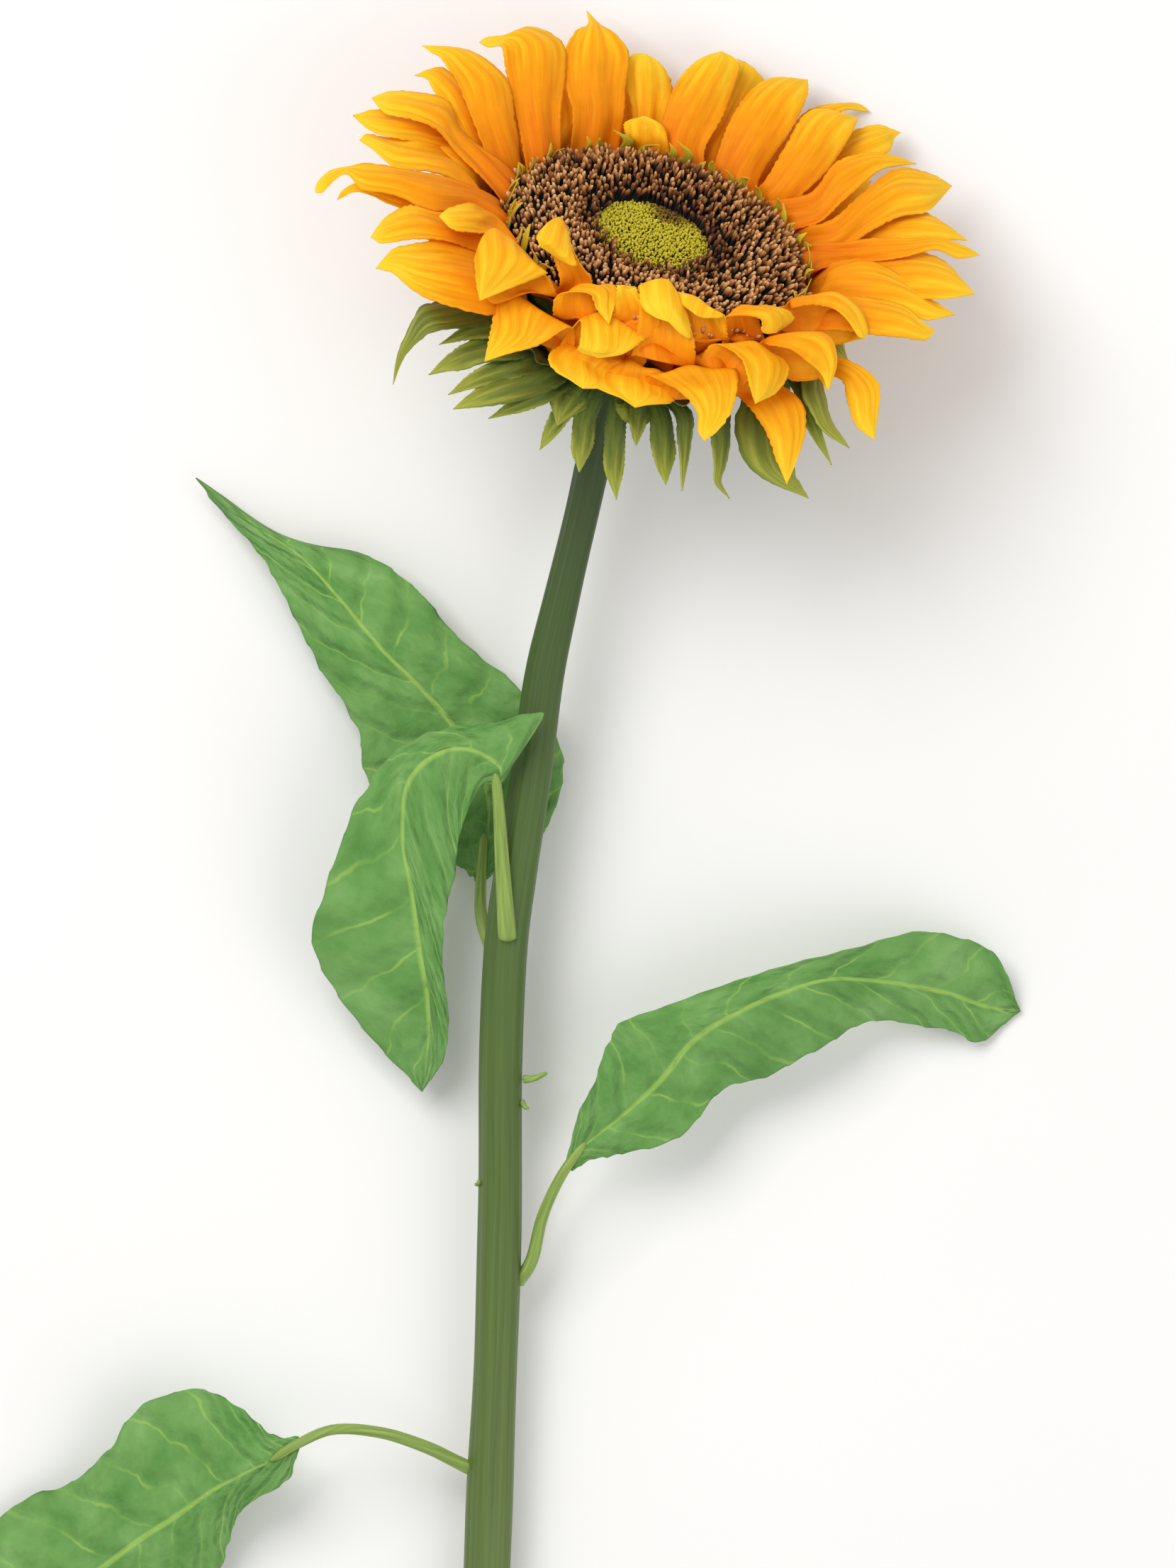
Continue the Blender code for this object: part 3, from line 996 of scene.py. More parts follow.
@dataclass(frozen=True)
class Petal:
    """A petal cut to its own outline.

    Each row across it is its edge on the side of smaller azimuths, its middle where it has a
    fold, and its other edge, each as plan x, plan y and height over the disc's face.
    """

    row: Row
    root: float
    rows: tuple[tuple[Place, ...], ...]
    tip: Place
    spread: float = 9.0
    bulge: float = 0.16

    def controls(self) -> Array:
        """Rows of the middle, the two edges and the fold, in the head's frame."""
        rows = []
        for radius, height in filter(None, self.row.value):
            low = on_head((self.root - self.spread, radius, height))
            high = on_head((self.root + self.spread, radius, height))
            rows.append(np.concatenate(((low + high) / 2, low, high, np.zeros(3))))
        for row in self.rows:
            low, high = from_plan(row[0]), from_plan(row[-1])
            middle = (low + high) / 2
            fold = from_plan(row[1]) - middle if len(row) == 3 else np.zeros(3)
            rows.append(np.concatenate((middle, low, high, fold)))
        tip = from_plan(self.tip)
        rows.append(np.concatenate((tip, tip, tip, np.zeros(3))))
        return np.array(rows)


@dataclass
class PetalShaper:
    """Presses a flat blank of satin into one petal."""

    petal: Petal
    seed: int
    stations: int = 84
    columns: int = 26
    cloth_mm: float = 0.35
    pleat_mm: float = 0.6
    curl_mm: float = 0.7
    fray_mm: float = 0.22
    ramp_mm: float = 60.0
    lined: bool = True
    width: float = field(init=False, default=0.0)

    def place(self, side: Array, along: Array) -> Array:
        """Where each point of the flat blank goes.

        Args:
            side: -1 at the edge of smaller azimuths to 1 at the other.
            along: 0 at the root to 1 at the tip.

        Returns:
            World points in metres.
        """
        route = even_route(self.petal.controls(), self.stations + 1)
        middle, low, high, fold = (route[:, start : start + 3] for start in (0, 3, 6, 9))
        across = (high - low) / 2
        half = np.linalg.norm(across, axis=1)
        self.width = float(2 * half.max())
        normal = unit(np.cross(tangents_of(middle), across))
        row = np.rint(along * self.stations).astype(int)
        size = np.minimum(1, half[row] / 4)
        ragged = self.fray_mm * wobble(along * 19 + 5 * np.sign(side), self.seed + 7, 6) * np.abs(side) ** 8
        reach = side * (1 + ragged * np.minimum(1, 4 * along) / np.maximum(half[row], 1.5) * size)
        arch = 1 - np.abs(side) ** 1.6
        chance = random.Random(self.seed)
        waves = chance.uniform(1.0, 2.0)
        phase = chance.uniform(-0.8, 0.8)
        gathered = 1.25 - along
        drift = 0.2 * wobble(along, self.seed + 9)
        pleats = self.pleat_mm * np.cos(waves * math.pi * (side + drift) + phase) * gathered
        curl = self.curl_mm * np.abs(side) ** 2.2 * wobble(along * 1.9 + 0.37 * np.sign(side), self.seed + 3)
        lift = self.petal.bulge * half[row] * arch + (pleats + curl * along) * size
        points = middle[row] + across[row] * reach[:, None] + fold[row] * arch[:, None]
        return from_head(points + normal[row] * lift[:, None])

    def build(self, name: str) -> bpy.types.Object:
        """The petal as cloth.

        Args:
            name: The object's name.

        Returns:
            The finished mesh object; a lined petal's second material is for its inner side.
        """
        made = add_sheet(name, self.columns, self.stations, self.place)
        stretch_uv(made, self.width, self.ramp_mm)
        give_thickness(made, self.cloth_mm, material_offset=int(self.lined))
        smooth(made)
        return made


def to_plan(place: Place) -> Place:
    """The inverse of from_plan.

    Args:
        place: Azimuth in degrees, radius and height on the head, in millimetres.

    Returns:
        The same place by its plan, as x and y, and its height over the disc's face.
    """
    level, other, height = on_head(place)
    uphill = other * math.cos(HEAD_LEAN) + height * math.sin(HEAD_LEAN)
    x = level * math.cos(HEAD_TURN) + uphill * math.sin(HEAD_TURN)
    y = uphill * math.cos(HEAD_TURN) - level * math.sin(HEAD_TURN)
    return (x, y, height)


def far_bract(azimuth: float, long: float = 64.0) -> Petal:
    """A plain pointed bract under the petals.

    Args:
        azimuth: Where it grows round the head, in degrees.
        long: How far its tip is from the head's axis, in millimetres.

    Returns:
        The bract.
    """
    low, high = to_plan((azimuth - 8, 51.0, -20.0)), to_plan((azimuth + 8, 51.0, -20.0))
    return Petal(Row.BRACT, azimuth, ((low, high),), to_plan((azimuth, long, -21.0)))


# Petals in the order of their CAD nodes, then small ones that have none.
PETALS = (
    Petal(OUTER, 1, (((48, -18, -2), (46, -8, 3)), ((58, -20, 2), (56, -5, 9)),
          ((68, -20, 4), (66, -9, 8)), ((75, -20.8, 4), (75, -15.7, 5.5))), (80.8, -19.6, 4)),
    Petal(MIDDLE, 12, (((50, -14, 0), (48, -5, 3)), ((62, -14.5, 4), (60, -3, 7)),
          ((72, -15, 7), (70, -2, 9)), ((79.5, -15, 8), (78.8, -5, 9))), (86.3, -13.8, 8)),
    Petal(INNER, 22, (((50, -6, 2), (50, 0, 5)), ((60, -5, 7), (59, 1.3, 10)),
          ((68, -3.8, 10), (68, 1.2, 12)), ((76, -2, 11), (76, 1.6, 12)),
          ((82, -3.8, 10), (83, 0, 11))), (88, -3, 9)),
    Petal(MIDDLE, 38, (((49, -3, 2), (47, 6, 6)), ((58, 3, 8), (56, 14, 12)),
          ((66, 7, 12), (65, 20.5, 15)), ((74, 9.5, 13), (74, 19.8, 14))), (80.7, 16.5, 12)),
    Petal(INNER, 48, (((45, 6, 4), (42, 14, 6)), ((52, 12.5, 11), (49, 22.5, 14)),
          ((60, 19.8, 15), (57, 25.3, 17)), ((66, 21.8, 15), (65, 24.4, 16))), (71, 22.6, 14)),
    Petal(OUTER, 55, (((49, 17, 4), (45, 24, 6)), ((57, 22, 9), (52.5, 31, 11)),
          ((63.5, 26, 12), (59.5, 33.2, 13)), ((65.2, 29.8, 12), (64, 32.5, 12.5))), (67, 31.6, 12)),
    Petal(MIDDLE, 58, (((39, 13, 4), (29, 17, 4)), ((47, 21, 11), (35, 27, 11)),
          ((53, 30, 15), (40, 35.5, 15)), ((54.5, 33.5, 16), (46, 37.5, 16))), (55.3, 35.3, 15)),
    Petal(INNER, 70, (((29, 20, 4), (17, 26, 5)), ((35, 29, 11), (20.5, 35, 12)),
          ((39, 36, 16), (26, 42.8, 17)), ((41.5, 42, 18), (33, 46.8, 18.5))), (41.5, 46, 18)),
    Petal(INNER, 91, (((13.5, 27, 4), (1.5, 33, 5)), ((18.5, 36, 11), (4, 41.5, 12)),
          ((22, 45.5, 16), (7.5, 47.3, 17)), ((22.3, 50.5, 19), (12.5, 51.8, 19.5))), (18, 53.6, 20)),
    Petal(OUTER, 104, (((2, 33, 2), (-7, 34, 2)), ((4.3, 41, 8), (-8, 43, 8)),
          ((3.8, 46.5, 12), (-8, 50, 13)), ((1, 50.5, 14), (-6, 52.8, 14.5))), (-3, 52.8, 15)),
    Petal(MIDDLE, 122, (((-9, 36, 6), (-23, 36, 6)), ((-8.5, 43, 11), (-24.5, 43, 11)),
          ((-7.5, 52, 16), (-25, 53, 16)), ((-11, 57.7, 19), (-22, 58.7, 19)),
          ((-15.5, 61.2, 19), (-18.6, 61, 19))), (-19, 65, 17)),
    Petal(INNER, 147, (((-26, 37, 8), (-38.5, 37, 8)), ((-24.5, 47, 14), (-41, 47, 14)),
          ((-25.5, 55.5, 18), (-42, 53, 18)), ((-34, 60, 19.5), (-42.5, 54, 18.5)),
          ((-41.5, 57.4, 18.5), (-43, 54.2, 18)), ((-46, 56.7, 17), (-46, 54, 16.5))), (-48.2, 55.3,
          16)),
    Petal(MIDDLE, 160, (((-38.5, 33, 7), (-49, 31, 7)), ((-40, 44, 13), (-53.5, 43, 13)),
          ((-46.5, 50.5, 17), (-57, 48, 16)), ((-53, 53.4, 18), (-59, 51, 17)),
          ((-59, 54, 17), (-61.3, 52.3, 16))), (-63.7, 54, 15)),
    Petal(OUTER, 165, (((-45, 29, 2), (-52, 26, 2)), ((-51, 41, 8), (-57.5, 38, 8)),
          ((-57.5, 47.5, 11), (-60.3, 42, 10)), ((-61.5, 47.6, 12), (-62.5, 45, 11))), (-65.7, 45.8,
          11)),
    Petal(INNER, 175, (((-53, 31, 6), (-54.5, 24, 6)), ((-57, 38.5, 11), (-60, 30, 10)),
          ((-66, 40.8, 13), (-67, 33.5, 12)), ((-72, 40.7, 13), (-73.5, 35.2, 12))), (-77.2, 39, 12)),
    Petal(OUTER, 184, (((-55, 30, 1), (-53.5, 22, 1)), ((-62, 34, 6), (-62, 26.6, 6)),
          ((-71, 35.4, 8), (-70.5, 27.6, 8)), ((-77.5, 35.4, 9), (-77, 29.5, 8))), (-82.2, 34.2, 9)),
    Petal(INNER, 194, (((-50, 15, 3), (-49, 8, 2)), ((-60, 18, 7), (-60, 8, 5)),
          ((-70, 19.7, 9), (-70, 12.2, 7)), ((-78.5, 20.3, 9), (-79.5, 13.6, 7)),
          ((-83, 19.7, 8), (-83.5, 17.6, 7)), ((-88.3, 18.5, 6), (-87, 15.8, 5)),
          ((-91.6, 15.2, 4), (-90, 12.6, 3.5))), (-92, 12.6, 3)),
    Petal(MIDDLE, 201, (((-52, 11, -1), (-50, 4, -2)), ((-61, 12.5, 1), (-62, 7.3, 0)),
          ((-70, 14, 3), (-70.5, 9.2, 2)), ((-78, 15, 4), (-77.5, 12.2, 3)),
          ((-82, 14.9, 3.5), (-81.5, 12.9, 3)), ((-85, 13, 2.5), (-84, 11.7, 2))), (-86.2, 10.6, 2)),
    Petal(INNER, 212, (((-51, 6, 1), (-47, -3.5, -1)), ((-60, 7.3, 4), (-56, -1, 2)),
          ((-66.5, 9.2, 6), (-65, -0.4, 3)), ((-73, 5.5, 5), (-73.5, -1.2, 3))), (-77, 0.2, 3)),
    Petal(OUTER, 222, (((-48, -3, -2), (-44, -20.5, -7)), ((-57, -0.6, 1), (-54, -18.8, -5)),
          ((-65, -1.3, 2), (-64, -15.2, -3)), ((-71, -3, 1), (-71, -9.8, -2))), (-75.6, -8.2, -2)),
    Petal(INNER, 238, (((-44, -17.5, -4), (-27, -14.5, 2)),
          ((-49, -9.5, 2), (-40, -4, 7), (-29, -11, 6)),
          ((-49, -6, 7), (-44.3, 0.8, 11), (-30.5, -9.8, 8)),
          ((-48.6, -11, 5), (-44, -6, 10), (-30.8, -10.2, 8))), (-47.6, -17, 0), spread=8),
    Petal(OUTER, 250, (((-37, -27, -14), (-22, -31, -12)),
          ((-43, -17.6, -8), (-38, -17.3, -5), (-23.5, -24.8, -3)), ((-44.6, -24, -8), (-33, -29, -8))),
          (-46.4, -33.4, -12)),
    Petal(INNER, 246, (((-26.3, -11, 5), (-17.5, -12, 5)), ((-28.5, -3, 12), (-21, -6.5, 11)),
          ((-30.5, 2.5, 16), (-26.5, 4.7, 17), (-23, -3.5, 14)),
          ((-32.2, 0.5, 15), (-29, -1.6, 16), (-22, -7.4, 12))), (-31.6, -2.2, 14), spread=5),
    Petal(MIDDLE, 252, (((-28, -21, -4), (-15, -24, -3)),
          ((-27, -16, 3), (-21, -14.6, 5), (-12.5, -13.2, 5)), ((-19, -15.5, 6), (-11, -13.6, 6)),
          ((-16.4, -19, 4), (-11.7, -18.5, 4))), (-13, -23.2, 1)),
    Petal(OUTER, 268, (((-27, -31, -12), (-3, -33, -10)),
          ((-21, -22.5, -2), (-15, -21.6, -1), (-2, -27, -2)), ((-20.8, -28.6, -3), (-7, -30, -4)),
          ((-21.2, -30.4, -5), (-11, -31.6, -5))), (-16, -32.2, -6)),
    Petal(INNER, 267, (((-12, -20, 2), (1, -23, 2)), ((-11, -14, 8.5), (-5, -15, 8.5)),
          ((-10.3, -12.6, 10), (-5.6, -13.2, 10))), (-7.6, -13.4, 9.5), spread=7),
    Petal(MIDDLE, 281, (((-7, -31, -6), (9.5, -35, -8)), ((-5, -22, 2), (10.2, -29, 0)),
          ((-5, -13, 10), (2, -12.4, 11), (8, -20.5, 6)),
          ((-3.4, -18.5, 8), (3, -20, 8), (9.3, -26.5, 3))), (3, -22.6, 6)),
    Petal(OUTER, 290, (((-4, -39.5, -16), (12, -44, -17)),
          ((-2.5, -37.2, -11), (9, -36.4, -7), (20.5, -35.6, -6)), ((6, -41.2, -12), (21.6, -40, -8)),
          ((10.7, -46.5, -14), (19.8, -47, -12)), ((11, -52, -16), (16, -52, -15))), (12.6, -54.6,
          -17)),
    Petal(INNER, 294, (((7.5, -25, 0), (19, -27, 0)), ((5.2, -14, 9), (11.5, -17, 9.5), (18, -21, 8)),
          ((6, -16, 9), (10, -20.4, 8.5), (17, -21.4, 7.5))), (12, -21.2, 7.5), 9, 0.05),
    Petal(MIDDLE, 300, (((10.5, -33, -6), (23, -39.5, -9)),
          ((15, -28.5, 0), (24, -29, 1), (31, -31.5, -1)), ((22, -32, -1), (35.8, -34.5, -4)),
          ((24.8, -39, -5), (32.4, -41, -9))), (26.4, -44.4, -10)),
    Petal(INNER, 314, (((17, -26, 0), (29, -27, -2)), ((17.8, -20.8, 6), (27, -18, 8)),
          ((27.5, -21.5, 7.5), (34, -18.6, 7)), ((28.6, -25, 4), (36.7, -21.4, 4))), (32, -25.2, 3)),
    Petal(OUTER, 313, (((21.5, -42, -16), (33, -38, -13)), ((26, -47, -17), (39.3, -44, -14)),
          ((30, -53, -21), (40.2, -51.5, -19)), ((32.5, -60, -25), (38, -58.5, -24))), (35, -66, -29)),
    Petal(MIDDLE, 322, (((28, -34, -9), (29, -27.3, 0), (29, -28.2, 0.5)),
          ((36, -38, -10), (38, -25.3, 4), (36, -29.5, 3.5)),
          ((41, -38, -9), (46.2, -25.6, 5), (40.5, -33, 2)),
          ((44, -37.5, -8), (48.6, -33, 1), (43.5, -36, -1))), (46, -40.8, -4), 8, 0.0),
    Petal(OUTER, 329, (((40, -36, -12), (42, -31, -8)), ((49.5, -37.5, -7), (51.5, -32.2, -3)),
          ((51.4, -43.5, -10), (59.5, -38.2, -6)), ((53.5, -50, -14), (59.8, -46.5, -11))), (58.6,
          -53.9, -16)),
    Petal(INNER, 338, (((37, -26, -4), (35.5, -16.8, 5), (36.5, -18.3, 5.5)),
          ((42, -27, -5), (42, -15.2, 7), (42.5, -17.2, 7.5)),
          ((47, -28, -6), (48.5, -14.3, 8), (47.5, -18.3, 8)),
          ((51, -27.5, -5), (54.7, -18.3, 6), (51, -21.5, 6.5)),
          ((53.5, -26.5, -2), (57, -24, 3), (54.2, -25.8, 3))), (56, -26.3, 2), 8, 0.0),
    Petal(MIDDLE, 352, (((47, -24, 0), (47, -15, 4)), ((57, -25.2, 2), (57, -15, 6)),
          ((66, -26.4, 2), (66.5, -17, 6)), ((72.5, -26.8, 1), (71.5, -21.5, 4))), (75.4, -24, 2)),
    Petal(OUTER, 82, (((20, 28, 3), (14, 29, 3)), ((26, 40, 9), (20, 42, 10)),
          ((29.8, 45.5, 13), (22.5, 49.5, 15)), ((27, 49, 15), (22.5, 51.8, 16))), (24.5, 50.9, 16)),
    Petal(OUTER, 68, (((38, 25, 3), (33, 27, 3)), ((45, 33, 9), (39, 35.5, 9)),
          ((49.7, 36.5, 12), (43.5, 38.5, 12)), ((52, 38, 13), (50, 39.7, 13)),
          ((55.5, 38, 12), (55.5, 39.6, 12))), (58.6, 37.5, 11)),
    Petal(OUTER, 28, (((52, -2, 1), (50, 7, 4)), ((62, 0, 6), (61, 9, 9)), ((71, 0, 9), (70, 10, 11)),
          ((79, 1, 10), (77.5, 7.3, 11))), (84.6, 1.2, 9)),
    Petal(INNER, 104, (((3, 29, 4), (-8.5, 29.5, 4)), ((2, 33, 7), (-8.5, 33.6, 7))), (-3.5, 35.4, 8),
          9, 0.04),
    Petal(MIDDLE, 189, (((-57, 24.5, 3), (-52, 15.5, 3)), ((-65, 27, 6), (-61, 18.5, 6)),
          ((-72, 28.5, 7), (-70, 19.6, 6)), ((-78, 29.3, 7), (-76.5, 24.6, 6))), (-80.4, 27.3, 6)),
    Petal(INNER, 214, (((-45, 8, 3), (-42.5, 0.5, 2)), ((-50, 9.7, 7), (-49, 1.5, 5)),
          ((-56, 8.4, 8), (-55, 2.5, 6.5))), (-58.8, 6, 7)),
    Petal(OUTER, 134, (((-14, 34, 2), (-27, 33, 2)), ((-14, 43, 6), (-28, 42, 6))), (-21, 49, 8)),
    Petal(OUTER, 152, (((-31, 30, 1), (-42, 26, 1)), ((-34, 39, 5), (-46, 36, 5))), (-43, 43, 7)),
    Petal(OUTER, 174, (((-46, 22, 0), (-51, 15, 0)), ((-54, 28, 3), (-58, 20, 3))), (-64, 26, 5)),
    Petal(OUTER, 205, (((-46, 6, -5), (-45, -6, -7)), ((-54, 7, -3), (-54, -5, -4))), (-63, 1, -3)),
    Petal(OUTER, 236, (((-41, -8, -9), (-34, -19, -11)), ((-45, -9, -5), (-40, -19, -8))), (-46, -15,
          -6)),
    Petal(OUTER, 344, (((40, -25, -9), (42, -16, -6)), ((49, -25, -6), (50, -15, -3))), (58, -20, -2)),
    Petal(OUTER, 15, (((46, -10, -6), (46, 0, -3)), ((56, -9, -1), (56, 1, 2))), (67, -4, 3)),
    Petal(OUTER, 42, (((46, 4, -3), (43, 13, -1)), ((53, 8, 2), (50, 18, 4))), (59, 18, 6)),
    Petal(OUTER, 92, (((11, 28, 0), (2, 32, 0)), ((16, 38, 5), (5, 41, 5))), (11, 45, 8)),
    Petal(OUTER, 276, (((-18, -35, -13), (4, -40, -15)), ((-17, -40, -15), (4, -44, -17))), (-6, -45.5,
          -17)),
    Petal(OUTER, 262, (((-29, -31, -11), (-13, -36, -13)), ((-28, -36, -13), (-13, -40, -15))), (-20,
          -40.5, -15)),
    Petal(OUTER, 118, (((-5, 33, 0), (-14, 34, 0)), ((-5, 42, 5), (-15, 43, 5))), (-10, 48, 8)),
)

# Bracts in the order of their CAD nodes, then small ones that have none.
BRACTS = (
    far_bract(30),
    far_bract(75, 60),
    far_bract(120, 60),
    far_bract(165),
    Petal(BRACT, 205, (((-48, -11, -20), (-41, -22, -20)), ((-58, -16, -17), (-53, -24, -19)),
          ((-64, -18, -18), (-60.5, -25, -20)), ((-67.8, -25.5, -27), (-65, -27.8, -27)),
          ((-70.3, -31.5, -34), (-68.5, -32, -34))), (-71.3, -38.8, -42), bulge=0.1),
    Petal(BRACT, 219, (((-44, -20, -21), (-40, -27, -22)), ((-51, -22.5, -22), (-50, -26.8, -24))),
          (-58.8, -28.2, -27)),
    Petal(BRACT, 226, (((-42, -25, -23), (-37, -32, -24)), ((-51, -27.5, -26), (-48, -33.5, -28)),
          ((-55.5, -30, -29), (-53.5, -34.8, -31))), (-61.6, -36.2, -36)),
    Petal(BRACT, 242, (((-35, -32, -25), (-26, -39, -27)), ((-43, -35, -29), (-37, -43.5, -32)),
          ((-49, -40, -34), (-47, -45, -36))), (-55, -45.6, -40)),
    Petal(BRACT, 249, (((-32, -37, -28), (-26, -42, -30)), ((-38, -42, -33), (-35, -46, -35))), (-45.5,
          -48, -42)),
    Petal(BRACT, 256, (((-24, -38, -29), (-19, -41, -30)), ((-28.4, -46, -36), (-23, -47.5, -36)),
          ((-30.5, -51, -41), (-27, -52.5, -41))), (-31.7, -56.5, -46)),
    Petal(BRACT, 263, (((-19.5, -40, -30), (-13.5, -41, -30)), ((-22.5, -48, -36), (-16.4, -48.5, -36)),
          ((-23, -56, -43), (-17.5, -56, -43))), (-21, -62.5, -48)),
    Petal(BRACT, 273, (((-13, -42, -30), (-7.5, -43, -30)), ((-14.2, -52, -37), (-8.3, -52, -37)),
          ((-14, -61, -45), (-9, -61, -45))), (-11, -70, -52)),
    Petal(BRACT, 284, (((-3, -44, -29), (3, -45, -29)), ((-1.5, -52, -34), (4.6, -52, -34)),
          ((-0.8, -59, -40), (4.6, -59, -40))), (2.4, -66, -45)),
    Petal(BRACT, 294, (((11, -44, -24), (18, -44, -24)), ((14.2, -52, -29), (20, -52, -29)),
          ((15.4, -60, -36), (18.8, -60, -36)), ((15.8, -65.5, -40), (17.4, -65, -40))), (19.6, -69.6,
          -44)),
    Petal(BRACT, 310, (((22, -40, -18), (34, -37, -16)), ((21, -50, -24), (36, -49, -22)),
          ((23, -59, -30), (36.6, -58, -29)), ((29, -64, -34), (37.4, -63, -33))), (41, -69.5, -38)),
    Petal(BRACT, 328, (((36, -34, -14), (41, -28, -12)), ((40, -44, -16), (45, -40, -15)),
          ((44, -51, -20), (47.4, -48.5, -19))), (52, -56, -24)),
    Petal(BRACT, 235, (((-38, -30, -25), (-32, -36, -26)), ((-49, -35, -30), (-45, -39, -32))), (-56.4,
          -41.6, -38)),
    Petal(BRACT, 278, (((-8, -43, -29), (-3, -43, -29)), ((-7.6, -49, -33), (-3, -49, -33))), (-5.6,
          -55.4, -38)),
    Petal(BRACT, 289, (((4, -46, -27), (9, -46, -27)), ((5.6, -54, -33), (9.4, -54, -33))), (6.8, -67.6,
          -44)),
    Petal(BRACT, 322, (((34, -38, -18), (39, -34, -16)), ((40, -50, -22), (43.4, -48, -21))), (47.2,
          -60.6, -29)),
    Petal(BRACT, 338, (((42, -26, -12), (45, -19, -12)), ((47, -30, -11), (50, -24, -10))), (52, -33,
          -13)),
    far_bract(0),
    Petal(BRACT, 255, (((-25, -34, -27), (-14, -37, -28)), ((-29, -41, -31), (-18, -44, -33))), (-27,
          -50, -38)),
    Petal(BRACT, 275, (((-12, -38, -28), (-1, -39, -28)), ((-11, -46, -32), (1, -46, -32))), (-5, -51,
          -35)),
)

CAD_PETALS = 36
CAD_BRACTS = 16


@dataclass
class RayPetals:
    """All the ray petals round the head."""

    def build(self) -> None:
        """Cuts, presses and dyes each petal."""
        for number, petal in enumerate(PETALS, 1):
            made = PetalShaper(petal, seed=100 + number).build(f"petal_{number:02d}")
            # The back side gets the darker satin, which is painted shade.
            made.data.materials.append(PETAL_BACK_SHADE.material())
            inner = PETAL_INNER if petal.row is Row.OUTER else PETAL_SATIN
            made.data.materials.append(inner.material())
            nodes = (f"ray_petal_{number:02d}",) if number <= CAD_PETALS else ()
            finish_piece(made, nodes)


@dataclass
class Calyx:
    """The green cup under the petals: its body, a torn collar and the bracts."""

    cloth_mm: float = 0.5
    columns: int = 14
    profile: tuple[tuple[float, float], ...] = (
        (0.0, -36.0),
        (6.0, -36.0),
        (9.0, -33.5),
        (15.0, -30.5),
        (26.0, -27.0),
        (35.5, -20.0),
        (39.4, -12.0),
        (40.4, -4.6),
        (0.0, -4.6),
    )
    collar: tuple[tuple[float, float], ...] = ((27.0, -28.0), (36.0, -25.0), (41.0, -22.5), (43.0, -22.0))

    def cup(self) -> None:
        """The turned cup that everything is fixed to."""
        profile = np.array(self.profile)

        def place(side: Array, along: Array) -> Array:
            """Wraps the profile round the head's axis."""
            spans = along * (len(profile) - 1)
            radius = np.interp(spans, range(len(profile)), profile[:, 0])
            height = np.interp(spans, range(len(profile)), profile[:, 1])
            angle = side * math.pi
            radius = radius * (1 + 0.02 * np.sin(9 * angle))
            return from_head(np.stack((radius * np.cos(angle), radius * np.sin(angle), height), 1))

        made = add_sheet("calyx_cup", 96, 8 * (len(profile) - 1), place)
        close_up(made)
        smooth(made)
        made.data.materials.append(CALYX_TORN.material())
        finish_piece(made, ("receptacle",))

    def torn_collar(self) -> None:
        """The wavy torn collar just under the petals."""
        rows = np.array(self.collar)

        def place(side: Array, along: Array) -> Array:
            """Wraps the collar, wavy and torn at its outer edge."""
            angle = side * math.pi
            tears = 0.05 * np.sin(13 * angle) * np.sin(7 * angle) - 0.02 * np.sin(41 * angle)
            torn = 1 + along * tears
            spans = along * (len(rows) - 1)
            radius = np.interp(spans, range(len(rows)), rows[:, 0]) * torn
            height = np.interp(spans, range(len(rows)), rows[:, 1])
            height = height + 0.9 * along * np.sin(5 * angle + 1)
            return from_head(np.stack((radius * np.cos(angle), radius * np.sin(angle), height), 1))

        made = add_sheet("calyx_collar", 300, 16, place)
        close_up(made)
        give_thickness(made, 0.4)
        smooth(made)
        made.data.materials.append(CALYX_TORN.material())
        finish_piece(made)

    def bracts(self) -> None:
        """The pointed bracts, bent back under the head."""
        for number, bract in enumerate(BRACTS, 1):
            shaper = PetalShaper(
                bract,
                seed=500 + number,
                stations=48,
                columns=self.columns,
                cloth_mm=self.cloth_mm,
                pleat_mm=0.5,
                curl_mm=1.6,
                fray_mm=0.3,
                ramp_mm=34.0,
                lined=False,
            )
            made = shaper.build(f"bract_cloth_{number:02d}")
            made.data.materials.append(BRACT_DYED.material())
            nodes = (f"bract_{number:02d}",) if number <= CAD_BRACTS else ()
            finish_piece(made, nodes)

    def build(self) -> None:
        """Builds the cup, its collar and the bracts."""
        self.cup()
        self.torn_collar()
        self.bracts()


# ---------------------------------------------------------------------------
# The disc
# ---------------------------------------------------------------------------


